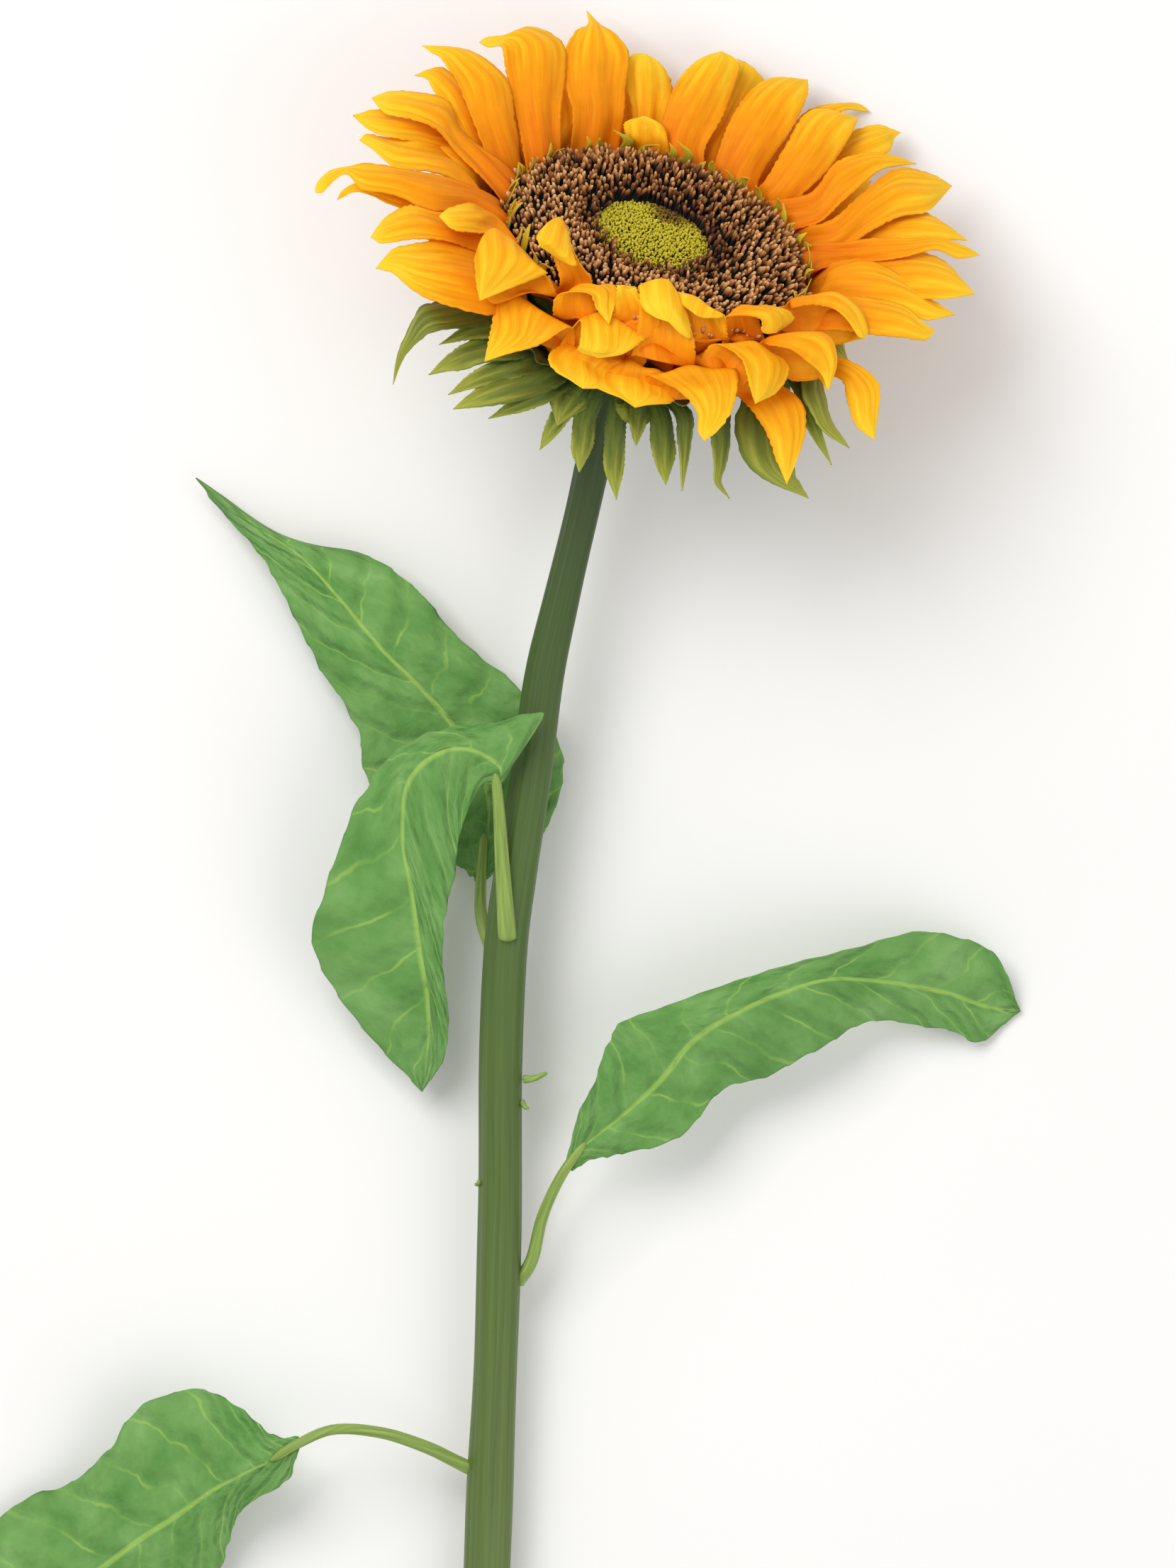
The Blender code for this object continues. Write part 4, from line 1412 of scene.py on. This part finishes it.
@dataclass
class Tufts:
    """A spiral of small tufts on a turned surface, all in one mesh."""

    name: str
    inner: float
    outer: float
    spacing: float
    profile: tuple[tuple[float, float], ...]
    tall: float
    fat: float
    seed: int
    lean: float = 0.35
    scatter: float = 0.14
    centre: tuple[float, float] = (0.0, 0.0)
    keep_off: tuple[float, float, float] | None = None
    sides: int = 6
    rings: tuple[tuple[float, float], ...] = ((0.0, 0.55), (0.45, 0.6), (0.75, 1.0), (0.92, 0.75))

    def shape(self) -> tuple[Array, Array, list[tuple[int, ...]]]:
        """One tuft: its points, the height share of each, and its faces."""
        points, heights, faces = [], [], []
        for height, radius in self.rings:
            for index in range(self.sides):
                angle = 2 * math.pi * index / self.sides
                points.append((radius * math.cos(angle), radius * math.sin(angle), height))
                heights.append(height)
        points.append((0.0, 0.0, 1.0))
        heights.append(1.0)
        for ring in range(len(self.rings) - 1):
            for index in range(self.sides):
                after = (index + 1) % self.sides
                low, high = ring * self.sides, (ring + 1) * self.sides
                faces.append((low + index, low + after, high + after, high + index))
        top = (len(self.rings) - 1) * self.sides
        for index in range(self.sides):
            faces.append((top + index, top + (index + 1) % self.sides, len(points) - 1))
        faces.append(tuple(reversed(range(self.sides))))
        return np.array(points), np.array(heights), faces

    def spots(self) -> Array:
        """Places on a golden-angle spiral, as rows of radius and angle."""
        count = int(math.pi * (self.outer**2) / self.spacing**2)
        index = np.arange(count) + 0.5
        radius = self.outer * np.sqrt(index / count)
        angle = index * GOLDEN_ANGLE
        keep = radius >= self.inner
        if self.keep_off is not None:
            x, y, reach = self.keep_off
            keep &= np.hypot(radius * np.cos(angle) - x, radius * np.sin(angle) - y) > reach
        return np.stack((radius[keep], angle[keep]), axis=1)

    def tone(self, radius: float, angle: float, chance: random.Random) -> float:
        """How light a tuft is, from 0 to 1.

        Args:
            radius: Its distance from the axis in millimetres.
            angle: Its angle in radians.
            chance: The spiral's random numbers.

        Returns:
            The tone.
        """
        return min(1.0, max(0.0, 0.75 + chance.uniform(-0.35, 0.25)))

    def build(self) -> bpy.types.Object:
        """All the tufts as one mesh object with their tone and height in its UV map."""
        chance = random.Random(self.seed)
        shape, heights, faces = self.shape()
        profile = np.array(self.profile)
        points, tones, all_faces = [], [], []
        for count, (radius, angle) in enumerate(self.spots()):
            radius += chance.gauss(0, 0.12 * self.spacing)
            angle += chance.gauss(0, 0.1) * self.spacing / max(radius, 1)
            height = np.interp(radius, profile[:, 0], profile[:, 1])
            tall = self.tall * chance.uniform(0.6, 1.25)
            fat = self.fat * chance.uniform(0.7, 1.3)
            outward = np.array((math.cos(angle), math.sin(angle), 0.0))
            tilt = self.lean * (radius - self.inner) / (self.outer - self.inner) * 2 - 0.3 * self.lean
            axis = unit(
                np.array((0.0, 0.0, 1.0))
                + outward * tilt
                + np.array((chance.gauss(0, self.scatter), chance.gauss(0, self.scatter), 0.0))
            )
            side = unit(np.cross(axis, np.array((0.3, 1.0, 0.1))))
            other = np.cross(axis, side)
            foot = outward * radius + np.array((*self.centre, height))
            local = shape[:, 0:1] * side * fat + shape[:, 1:2] * other * fat + shape[:, 2:3] * axis * tall
            points.append(foot + local)
            tones.append(np.full(len(shape), self.tone(radius, angle, chance)))
            start = count * len(shape)
            all_faces += [tuple(start + corner for corner in face) for face in faces]
        mesh = bpy.data.meshes.new(self.name)
        mesh.from_pydata(from_head(np.vstack(points)), [], all_faces)
        mesh.update()
        layer = mesh.uv_layers.new(name="cloth")
        corners = np.empty(len(mesh.loops), np.int32)
        mesh.loops.foreach_get("vertex_index", corners)
        pairs = np.stack((np.concatenate(tones), np.tile(heights, len(points))), axis=1)
        layer.uv.foreach_set("vector", pairs[corners].astype(np.float32).ravel())
        made = bpy.data.objects.new(self.name, mesh)
        bpy.context.scene.collection.objects.link(made)
        smooth(made)
        return made


@dataclass
class EyeTufts(Tufts):
    """The eye's buds, with brown painted shade towards the far side and at the rim."""

    def tone(self, radius: float, angle: float, chance: random.Random) -> float:
        """How free of painted shade a bud is.

        Args:
            radius: Its distance from the axis in millimetres.
            angle: Its angle in radians.
            chance: The spiral's random numbers.

        Returns:
            The tone, low where shade is painted.
        """
        far = np.array((radius * math.cos(angle) - 3.0, radius * math.sin(angle) - 11.0))
        # Painted shade: a brown patch on the eye's far side, and darkening at its rim next to the ring.
        far_shade = math.exp(-float(far @ far) / 40.0)
        rim = max(0.0, (radius - 13.0) / 4.0)
        return min(1.0, max(0.0, 1.0 - 0.9 * far_shade - 0.6 * rim + chance.uniform(-0.12, 0.1)))


@dataclass
class FloretTufts(Tufts):
    """The ring's tufts, with painted shade next to the eye and on the far side."""

    def tone(self, radius: float, angle: float, chance: random.Random) -> float:
        """How light a tuft is.

        Args:
            radius: Its distance from the axis in millimetres.
            angle: Its angle in radians.
            chance: The spiral's random numbers.

        Returns:
            The tone, with painted shade near the eye and on the far side.
        """
        # Painted shade: tufts darken next to the eye and on the far side of the disc; the random part is
        # their own tone.
        clear_of_eye_shade = min(1.0, max(0.0, (radius - 17.0) / 8.0))
        side_shade = 0.18 * -math.sin(angle)
        return min(1.0, max(0.0, 0.2 + 0.5 * clear_of_eye_shade + side_shade + chance.uniform(-0.3, 0.35)))


@dataclass
class Disc:
    """The flocked disc: a brown ring, its greenish eye and chaff at its rim."""

    ring_top: tuple[tuple[float, float], ...] = (
        (10.0, -2.6),
        (15.0, -2.4),
        (20.0, -1.2),
        (26.0, 0.6),
        (33.0, 0.6),
        (38.0, -1.0),
        (42.5, -4.5),
    )
    eye_top: tuple[tuple[float, float], ...] = ((0.0, 0.1), (11.0, -0.4), (17.0, -2.2))
    eye_middle: tuple[float, float] = (-2.0, 3.0)
    eye_radius: float = 16.2
    flakes: int = 38
    bare: float = 340.0
    bare_span: float = 105.0

    def pad(self, name: str, profile: Sequence[tuple[float, float]], finish: Finish) -> bpy.types.Object:
        """The foam pad that tufts stand on, coloured with the painted shade of the tufts' feet.

        Args:
            name: The object's name.
            profile: Its closed outline as (radius, height).
            finish: Its finish.

        Returns:
            The pad.
        """
        outline = np.array(profile)

        def place(side: Array, along: Array) -> Array:
            """Turns the outline round the head's axis."""
            spans = along * (len(outline) - 1)
            radius = np.interp(spans, range(len(outline)), outline[:, 0])
            height = np.interp(spans, range(len(outline)), outline[:, 1])
            angle = side * math.pi
            return from_head(np.stack((radius * np.cos(angle), radius * np.sin(angle), height), 1))

        made = add_sheet(name, 96, 4 * (len(outline) - 1), place)
        close_up(made)
        smooth(made)
        layer = made.data.uv_layers["cloth"]
        # Every point reads low on the tufts' foot ramp, so the pad shows the painted shade between the
        # tufts.
        flat = np.tile(np.array((0.4, 0.12), np.float32), len(layer.uv))
        layer.uv.foreach_set("vector", flat)
        made.data.materials.append(finish.material())
        return made

    def build(self) -> None:
        """Builds the ring, the eye and the chaff."""
        x, y = self.eye_middle
        flat = ((0.0, -2.6), *((r, h) for r, h in self.ring_top if r > 17), (41.0, -4.6), (0.0, -4.6))
        pad = self.pad("floret_pad", flat, FLORET_TUFT)
        tufts = FloretTufts(
            "floret_tufts",
            10.0,
            41.4,
            1.36,
            self.ring_top,
            tall=4.7,
            fat=0.5,
            seed=11,
            scatter=0.26,
            keep_off=(x, y, self.eye_radius - 0.4),
        ).build()
        tufts.data.materials.append(FLORET_TUFT.material())
        finish_piece(joined("floret_ring", (tufts, pad)), ("disc_florets",))
        buds = EyeTufts(
            "eye_buds",
            0.0,
            self.eye_radius,
            0.66,
            self.eye_top,
            tall=1.5,
            fat=0.36,
            seed=12,
            lean=0.15,
            scatter=0.3,
            centre=self.eye_middle,
            sides=5,
        ).build()
        buds.data.materials.append(EYE_TUFT.material())
        finish_piece(buds, ("disc_eye",))
        self.chaff()

    def chaff(self) -> None:
        """Small dry flakes that stand between the florets and the petals."""
        chance = random.Random(17)
        flakes = []
        for count in range(self.flakes):
            azimuth = self.bare + (360 - self.bare_span) * (count + chance.uniform(0.1, 0.9)) / self.flakes
            radius, height = chance.uniform(41.2, 43.2), chance.uniform(-1.5, 1.0)
            long = chance.uniform(3.5, 7.0)
            wide = chance.uniform(1.8, 3.2)
            foot = on_head((azimuth, radius, height - 3))
            crest = on_head((azimuth + chance.uniform(-3, 3), radius - 0.4, height + 0.55 * long))
            tip_azimuth = azimuth + chance.uniform(-5, 5)
            tip = on_head((tip_azimuth, radius + chance.uniform(-2.5, 1.5), height + long))
            flakes.append(self.flake(f"flake_{count:02d}", (foot, crest, tip), wide, azimuth))
        made = joined("chaff", flakes)
        made.data.materials.append(CHAFF_DRY.material())
        finish_piece(made)

    @staticmethod
    def flake(name: str, route: Sequence[Array], wide: float, azimuth: float) -> bpy.types.Object:
        """One flake along its route.

        Args:
            name: The object's name.
            route: Its foot, crest and tip in the head's frame.
            wide: Its widest width in millimetres.
            azimuth: Where it stands round the disc, in degrees.

        Returns:
            The flake.
        """
        controls = np.array(route)
        around = on_head((azimuth + 90, 1, 0))

        def place(side: Array, along: Array) -> Array:
            """Lays the flake across its route, narrowing to both ends."""
            middle = even_route(controls, 13)[np.rint(along * 12).astype(int)]
            half = wide / 2 * np.sin(math.pi * np.clip(0.2 + 0.78 * along, 0, 1)) + 0.05
            return from_head(middle + around * (side * half)[:, None])

        made = add_sheet(name, 3, 12, place)
        stretch_uv(made, wide, float(np.linalg.norm(controls[-1] - controls[0])))
        give_thickness(made, 0.25)
        smooth(made)
        return made


# ---------------------------------------------------------------------------
# The stem
# ---------------------------------------------------------------------------


@dataclass
class Stem:
    """The moulded stem, its ribs, stubs and cut end."""

    route: tuple[tuple[float, float, float, float], ...] = (
        (-8.9, -27.4, 42.4, 5.6),
        (-12.0, -38.0, 35.6, 5.0),
        (-15.6, -52.0, 31.0, 4.9),
        (-20.0, -72.0, 28.2, 4.9),
        (-25.9, -97.0, 26.5, 5.2),
        (-30.5, -118.0, 25.3, 5.5),
        (-34.2, -146.0, 23.6, 5.8),
        (-38.4, -172.0, 21.8, 6.1),
        (-41.0, -192.0, 20.6, 6.2),
        (-42.4, -223.0, 18.6, 6.2),
        (-42.6, -262.0, 16.2, 6.2),
        (-43.6, -300.0, 13.9, 6.3),
        (-45.2, -338.0, 11.8, 6.5),
        (-46.6, -376.0, 10.0, 6.6),
        (-49.0, -430.0, 8.2, 6.7),
        (-52.0, -500.0, 6.8, 6.8),
    )
    rings: int = 420
    sides: int = 56

    @staticmethod
    def ribs(angle: Array, along: Array) -> Array:
        """The moulded ribs and the seam that runs the length of the stem.

        Args:
            angle: Radians round the stem.
            along: The share along it.

        Returns:
            A factor on its radius, never above one.
        """
        drift = angle + 0.5 * along + 0.15 * np.sin(9 * along)
        ribs = 0.035 * np.cos(5 * drift) + 0.015 * np.cos(13 * drift + 2)
        seam = 0.10 * np.exp(-(((angle - 0.25 - 0.2 * along) / 0.10) ** 2))
        groove = 0.06 * np.exp(-(((angle - 0.85) / 0.12) ** 2))
        knots = 0.02 * wobble(along * 9, 31)
        return 0.96 + ribs - seam - groove + knots

    def shaft(self) -> bpy.types.Object:
        """The ribbed shaft with both ends closed."""
        even = even_route(np.array(self.route), self.rings)
        points = from_flower(even[:, :3])
        radii = even[:, 3] * MM
        ends = unit(np.stack((points[0] - points[1], points[-1] - points[-2])))
        points = np.vstack(
            (points[0] + ends[0] * 2e-3, points, points[-1] + ends[1] * 1e-5, points[-1] + ends[1] * 2e-5)
        )
        radii = np.concatenate(([0.0], radii, [radii[-1] * 0.86], [0.0]))
        return add_tube("stem_shaft", self.sides, points, radii, self.ribs)

    def stub(self, name: str, start: Place, end: Place, radius: float) -> bpy.types.Object:
        """A broken side stub.

        Args:
            name: The object's name.
            start: Its foot in the flower's frame.
            end: Its tip.
            radius: Its radius at the foot in millimetres.

        Returns:
            The stub.
        """
        middle = (np.array(start) + np.array(end)) / 2 + np.array((0.0, -0.6, 0.5))
        route = from_flower(even_route(np.array((start, middle, end)), 14))
        radii = radius * MM * np.concatenate(([0.0], np.linspace(1, 0.45, 12), [0.0]))
        return add_tube(name, 12, route, radii)

    def build(self) -> None:
        """Builds the stem with its stubs."""
        shaft = self.shaft()
        stretch_uv(shaft, 40.0, 490.0)
        shaft.data.materials.append(STEM_MOULDED.material())
        shaft.data.materials.append(CUT_CORE.material())
        tail = min(vertex.co.y for vertex in shaft.data.vertices)
        for face in shaft.data.polygons:
            if face.center.y < tail + 0.0011 and abs(face.normal.y) > 0.8:
                face.material_index = 1
        stubs = (
            self.stub("stub_a", (-36.5, -227.5, 19.5), (-29.6, -225.6, 21.0), 1.2),
            self.stub("stub_b", (-36.8, -233.5, 19.0), (-34.6, -235.5, 20.5), 1.0),
            self.stub("stub_c", (-48.2, -255.5, 17.5), (-49.6, -256.0, 18.0), 0.8),
        )
        for stub in stubs:
            stretch_uv(stub, 6.0, 8.0)
            stub.data.materials.append(STALK_MOULDED.material())
        finish_piece(joined("stem_moulded", (shaft, *stubs)), ("main_stem",))


# ---------------------------------------------------------------------------
# Leaves
# ---------------------------------------------------------------------------


@dataclass(frozen=True)
class LeafShape:
    """A leaf: its stalk's route, rows across its blade as (edge, midrib, edge), and its tip."""

    node: str
    stalk: tuple[Place, ...]
    rows: tuple[tuple[Place, Place, Place], ...]
    tip: Place
    stalk_radii: tuple[float, float] = (1.9, 1.3)
    waves: float = 1.6


LEAVES = (
    LeafShape(
        "upper_leaf",
        stalk=((-45.0, -192, 17.0), (-47.6, -184, 14.0), (-48, -176, 12.2), (-47, -160, 11.2)),
        rows=(
            ((-48.8, -174, 11.4), (-47.8, -173, 12), (-46.6, -173, 11.6)),
            ((-53, -170, 9), (-46, -158, 11.5), (-33, -163, 11)),
            ((-68, -162, 8), (-47, -146, 12), (-26, -148, 11)),
            ((-79, -146, 8), (-54, -133, 13), (-27, -134, 12)),
            ((-82, -131, 9), (-63, -122, 14), (-38, -120, 12)),
            ((-92, -115, 10), (-75, -110, 15), (-53, -108, 12)),
            ((-100, -99, 10), (-86, -97, 14.5), (-66, -93, 12)),
            ((-107, -86, 9), (-97, -85, 13), (-80, -84, 11)),
            ((-117, -74, 8), (-111, -75, 11), (-101, -79, 9)),
        ),
        tip=(-126, -63, 8),
    ),
    LeafShape(
        "middle_leaf",
        stalk=((-40.5, -190, 25.5), (-41.2, -180, 28.3), (-42, -168, 30), (-43, -152, 33), (-44, -143, 36)),
        rows=(
            ((-43.6, -147, 34.4), (-43, -147, 35), (-41.6, -146, 35)),
            ((-48, -147, 34), (-43, -142, 37), (-31, -128, 38)),
            ((-52, -155, 34), (-52, -137, 39), (-45, -130, 38)),
            ((-54, -163, 34), (-61, -139, 40), (-59, -132, 38)),
            ((-55, -171, 33), (-68, -147, 39), (-72, -139, 36)),
            ((-57, -180, 31), (-69, -162, 36), (-82, -153, 32)),
            ((-58, -190, 29), (-66, -178, 33), (-89, -172, 27)),
            ((-58, -201, 26), (-64, -192, 29), (-94, -189, 22)),
            ((-57, -212, 22), (-62, -205, 24), (-88, -203, 17)),
            ((-58, -222, 17), (-62, -217, 18), (-77, -217, 13)),
        ),
        tip=(-64, -231, 11),
        stalk_radii=(2.6, 1.4),
    ),
    LeafShape(
        "right_leaf",
        stalk=((-38.5, -284, 14), (-34.0, -277, 15.5), (-31, -265, 19), (-26, -254, 23), (-19, -244, 25)),
        rows=(
            ((-24.8, -251, 23.6), (-24, -251.6, 23.5), (-23, -252.4, 23.2)),
            ((-22, -239, 26.5), (-20, -246, 25), (-16, -249, 24)),
            ((-17, -228, 29), (-10, -238, 24), (-8, -248, 22)),
            ((-13, -217, 30), (1, -228, 26), (7, -242, 20)),
            ((-9, -211, 30), (10, -217, 28), (17, -231, 20)),
            ((6, -207, 30), (20, -210, 29), (30, -227, 19)),
            ((24, -200, 29), (33, -204, 28), (43, -220, 18)),
            ((42, -194, 26), (47, -200, 25), (54, -213, 16)),
            ((62, -189, 21), (63, -201, 19), (66, -212, 12)),
            ((80, -188, 15), (79, -204, 12), (79, -214, 7)),
            ((93, -194, 8), (91, -208, 5), (89, -217, 2.5)),
        ),
        tip=(100, -209, 1.2),
    ),
    LeafShape(
        "lower_leaf",
        stalk=(
            (-49, -335, 11.5),
            (-55, -332, 13),
            (-63, -328, 17),
            (-75, -324, 22),
            (-88, -323, 25),
            (-98, -327, 25),
            (-106, -332, 23.6),
        ),
        rows=(
            ((-97.6, -328.6, 24.8), (-97, -326.8, 25.2), (-97.6, -325, 24.8)),
            ((-101, -337, 20), (-104, -331, 24), (-105, -325, 23)),
            ((-112, -344, 17), (-112, -335, 22), (-113, -318, 22)),
            ((-116, -351, 14), (-121, -340, 19), (-124, -312, 20)),
            ((-119, -361, 11), (-131, -347, 17), (-140, -316, 17)),
            ((-124, -372, 8), (-142, -354, 15), (-150, -329, 13)),
            ((-133, -383, 6), (-154, -363, 12), (-160, -338, 10)),
            ((-147, -392, 4), (-167, -372, 9), (-175, -344, 7)),
            ((-164, -398, 3), (-180, -380, 6), (-188, -357, 5)),
            ((-184, -401, 2), (-194, -389, 3.5), (-199, -373, 3)),
        ),
        tip=(-211, -398, 1.2),
    ),
)


@dataclass
class Leaf:
    """One cloth leaf on its moulded stalk."""

    shape: LeafShape
    seed: int
    stations: int = 150
    columns: int = 60
    cloth_mm: float = 0.45
    tooth_mm: float = 0.7
    length: float = field(init=False, default=0.0)
    width: float = field(init=False, default=0.0)

    def place(self, side: Array, along: Array) -> Array:
        """Where each point of the flat blank goes.

        Args:
            side: -1 at one edge to 1 at the other.
            along: 0 at the stalk to 1 at the tip.

        Returns:
            World points in metres.
        """
        rows = [np.concatenate(row) for row in self.shape.rows]
        tip = np.array(self.shape.tip, float)
        rows.append(np.concatenate((tip, tip, tip)))
        curves = smooth_rows(np.array(rows), self.stations + 1)
        left, rib, right = curves[:, :3], curves[:, 3:6], curves[:, 6:]
        self.length = float(np.linalg.norm(np.diff(rib, axis=0), axis=1).sum())
        self.width = float(np.linalg.norm(right - left, axis=1).max())
        normal = unit(np.cross(np.gradient(rib, axis=0), right - left))
        normal = normal * np.sign(normal[:, 2:3])
        row = np.rint(along * self.stations).astype(int)
        edge = np.where(side[:, None] < 0, left[row], right[row])
        half = np.linalg.norm(edge - rib[row], axis=1)
        teeth = np.abs(((along * self.length / 7.0 + 0.3 * np.sign(side)) % 1.0) - 0.7)
        ragged = self.tooth_mm * (teeth - 0.35) + 0.35 * wobble(along * 11, self.seed + 1)
        reach = np.abs(side) + ragged * np.abs(side) ** 6 / np.maximum(half, 3.0)
        belly = 0.10 * half * np.abs(side) * (1 - np.abs(side))
        curl = self.shape.waves * np.abs(side) ** 3 * wobble(along * 2.2 + 0.4 * np.sign(side), self.seed)
        crease = 0.5 * np.exp(-np.abs(side) * half / 1.4)
        fade = np.minimum(1, half / 6)
        lift = (belly + curl * fade - crease * fade)[:, None]
        points = rib[row] + (edge - rib[row]) * reach[:, None] + normal[row] * lift
        points[:, 2] = np.maximum(points[:, 2], 0.35)
        return from_flower(points)

    def build(self) -> None:
        """Builds the blade and its stalk as one piece."""
        name = self.shape.node
        blade = add_sheet(f"{name}_blade", self.columns, self.stations, self.place)
        stretch_uv(blade, self.width, self.length)
        give_thickness(blade, self.cloth_mm)
        smooth(blade)
        blade.data.materials.append(LEAF_PRINT.material())
        route = even_route(np.array(self.shape.stalk, float), 40)
        wide, narrow = self.shape.stalk_radii
        taper = [narrow * 0.8, narrow * 0.5, 0.0]
        radii = np.concatenate(([0.0], np.linspace(wide, narrow, 36), taper)) * MM
        stalk = add_tube(f"{name}_stalk", 16, from_flower(route), radii)
        stretch_uv(stalk, 10.0, 60.0)
        stalk.data.materials.append(STALK_MOULDED.material())
        finish_piece(joined(f"{name}_cloth", (blade, stalk)), (name,))


# ---------------------------------------------------------------------------
# Studio
# ---------------------------------------------------------------------------


@dataclass
class Studio:
    """The pale floor, the soft lights and the camera that looks straight down."""

    view_height: float = 0.4267
    aim: tuple[float, float] = (-0.0186, -0.1468)
    plane: float = 0.040
    distance: float = 5.0

    def floor(self) -> None:
        """The paper that the flower lies on."""
        deselect()
        bpy.ops.mesh.primitive_plane_add(size=8, location=(0, 0, -0.0003))
        paper = bpy.context.object
        paper.name = "floor"
        bpy.ops.object.transform_apply(location=True, rotation=False, scale=False)
        paper.data.materials.append(PAPER.material())

    def lamp(self, name: str, place: Place, size: float, power: float) -> None:
        """A square soft light aimed at the flower.

        Args:
            name: The light's name.
            place: Where it hangs, in metres.
            size: The side of its panel in metres.
            power: Watts.
        """
        bpy.ops.object.light_add(type="AREA", location=place)
        lamp = bpy.context.object
        lamp.name = name
        lamp.data.shape = "SQUARE"
        lamp.data.size = size
        lamp.data.energy = power
        target = Vector((0.04, 0.12, 0.03))
        lamp.rotation_euler = (target - Vector(place)).to_track_quat("-Z", "Y").to_euler()

    def sky(self) -> None:
        """An even white room."""
        world = bpy.data.worlds.new("room")
        world.use_nodes = True
        world.node_tree.nodes["Background"].inputs[0].default_value = (1.0, 1.0, 1.0, 1.0)
        world.node_tree.nodes["Background"].inputs[1].default_value = 0.6
        bpy.context.scene.world = world

    def camera(self) -> None:
        """The camera, straight above the flower."""
        origin = FLOWER_ORIGIN * MM
        x, y = origin[0] + self.aim[0], origin[1] + self.aim[1]
        bpy.ops.object.camera_add(location=(x, y, self.plane + self.distance), rotation=(0, 0, 0))
        camera = bpy.context.object
        camera.name = "camera"
        camera.data.sensor_width = 36.0
        camera.data.lens = 36.0 * self.distance / self.view_height
        bpy.context.scene.camera = camera

    def build(self) -> None:
        """Sets up the floor, the lights and the camera."""
        self.floor()
        self.sky()
        self.lamp("key", (-0.55, 0.75, 1.30), 0.9, 14.0)
        self.lamp("fill", (0.9, -0.5, 1.1), 1.2, 5.0)
        self.camera()
        bpy.context.scene.view_settings.view_transform = "Standard"


def main() -> None:
    """Builds the flower piece by piece over the frame, then the studio."""
    logging.basicConfig(level=logging.INFO, format="%(name)s: %(message)s")
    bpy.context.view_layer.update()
    Stem().build()
    for number, shape in enumerate(LEAVES):
        Leaf(shape, seed=900 + number).build()
    Calyx().build()
    Disc().build()
    RayPetals().build()
    Studio().build()


if __name__ == "__main__":
    main()
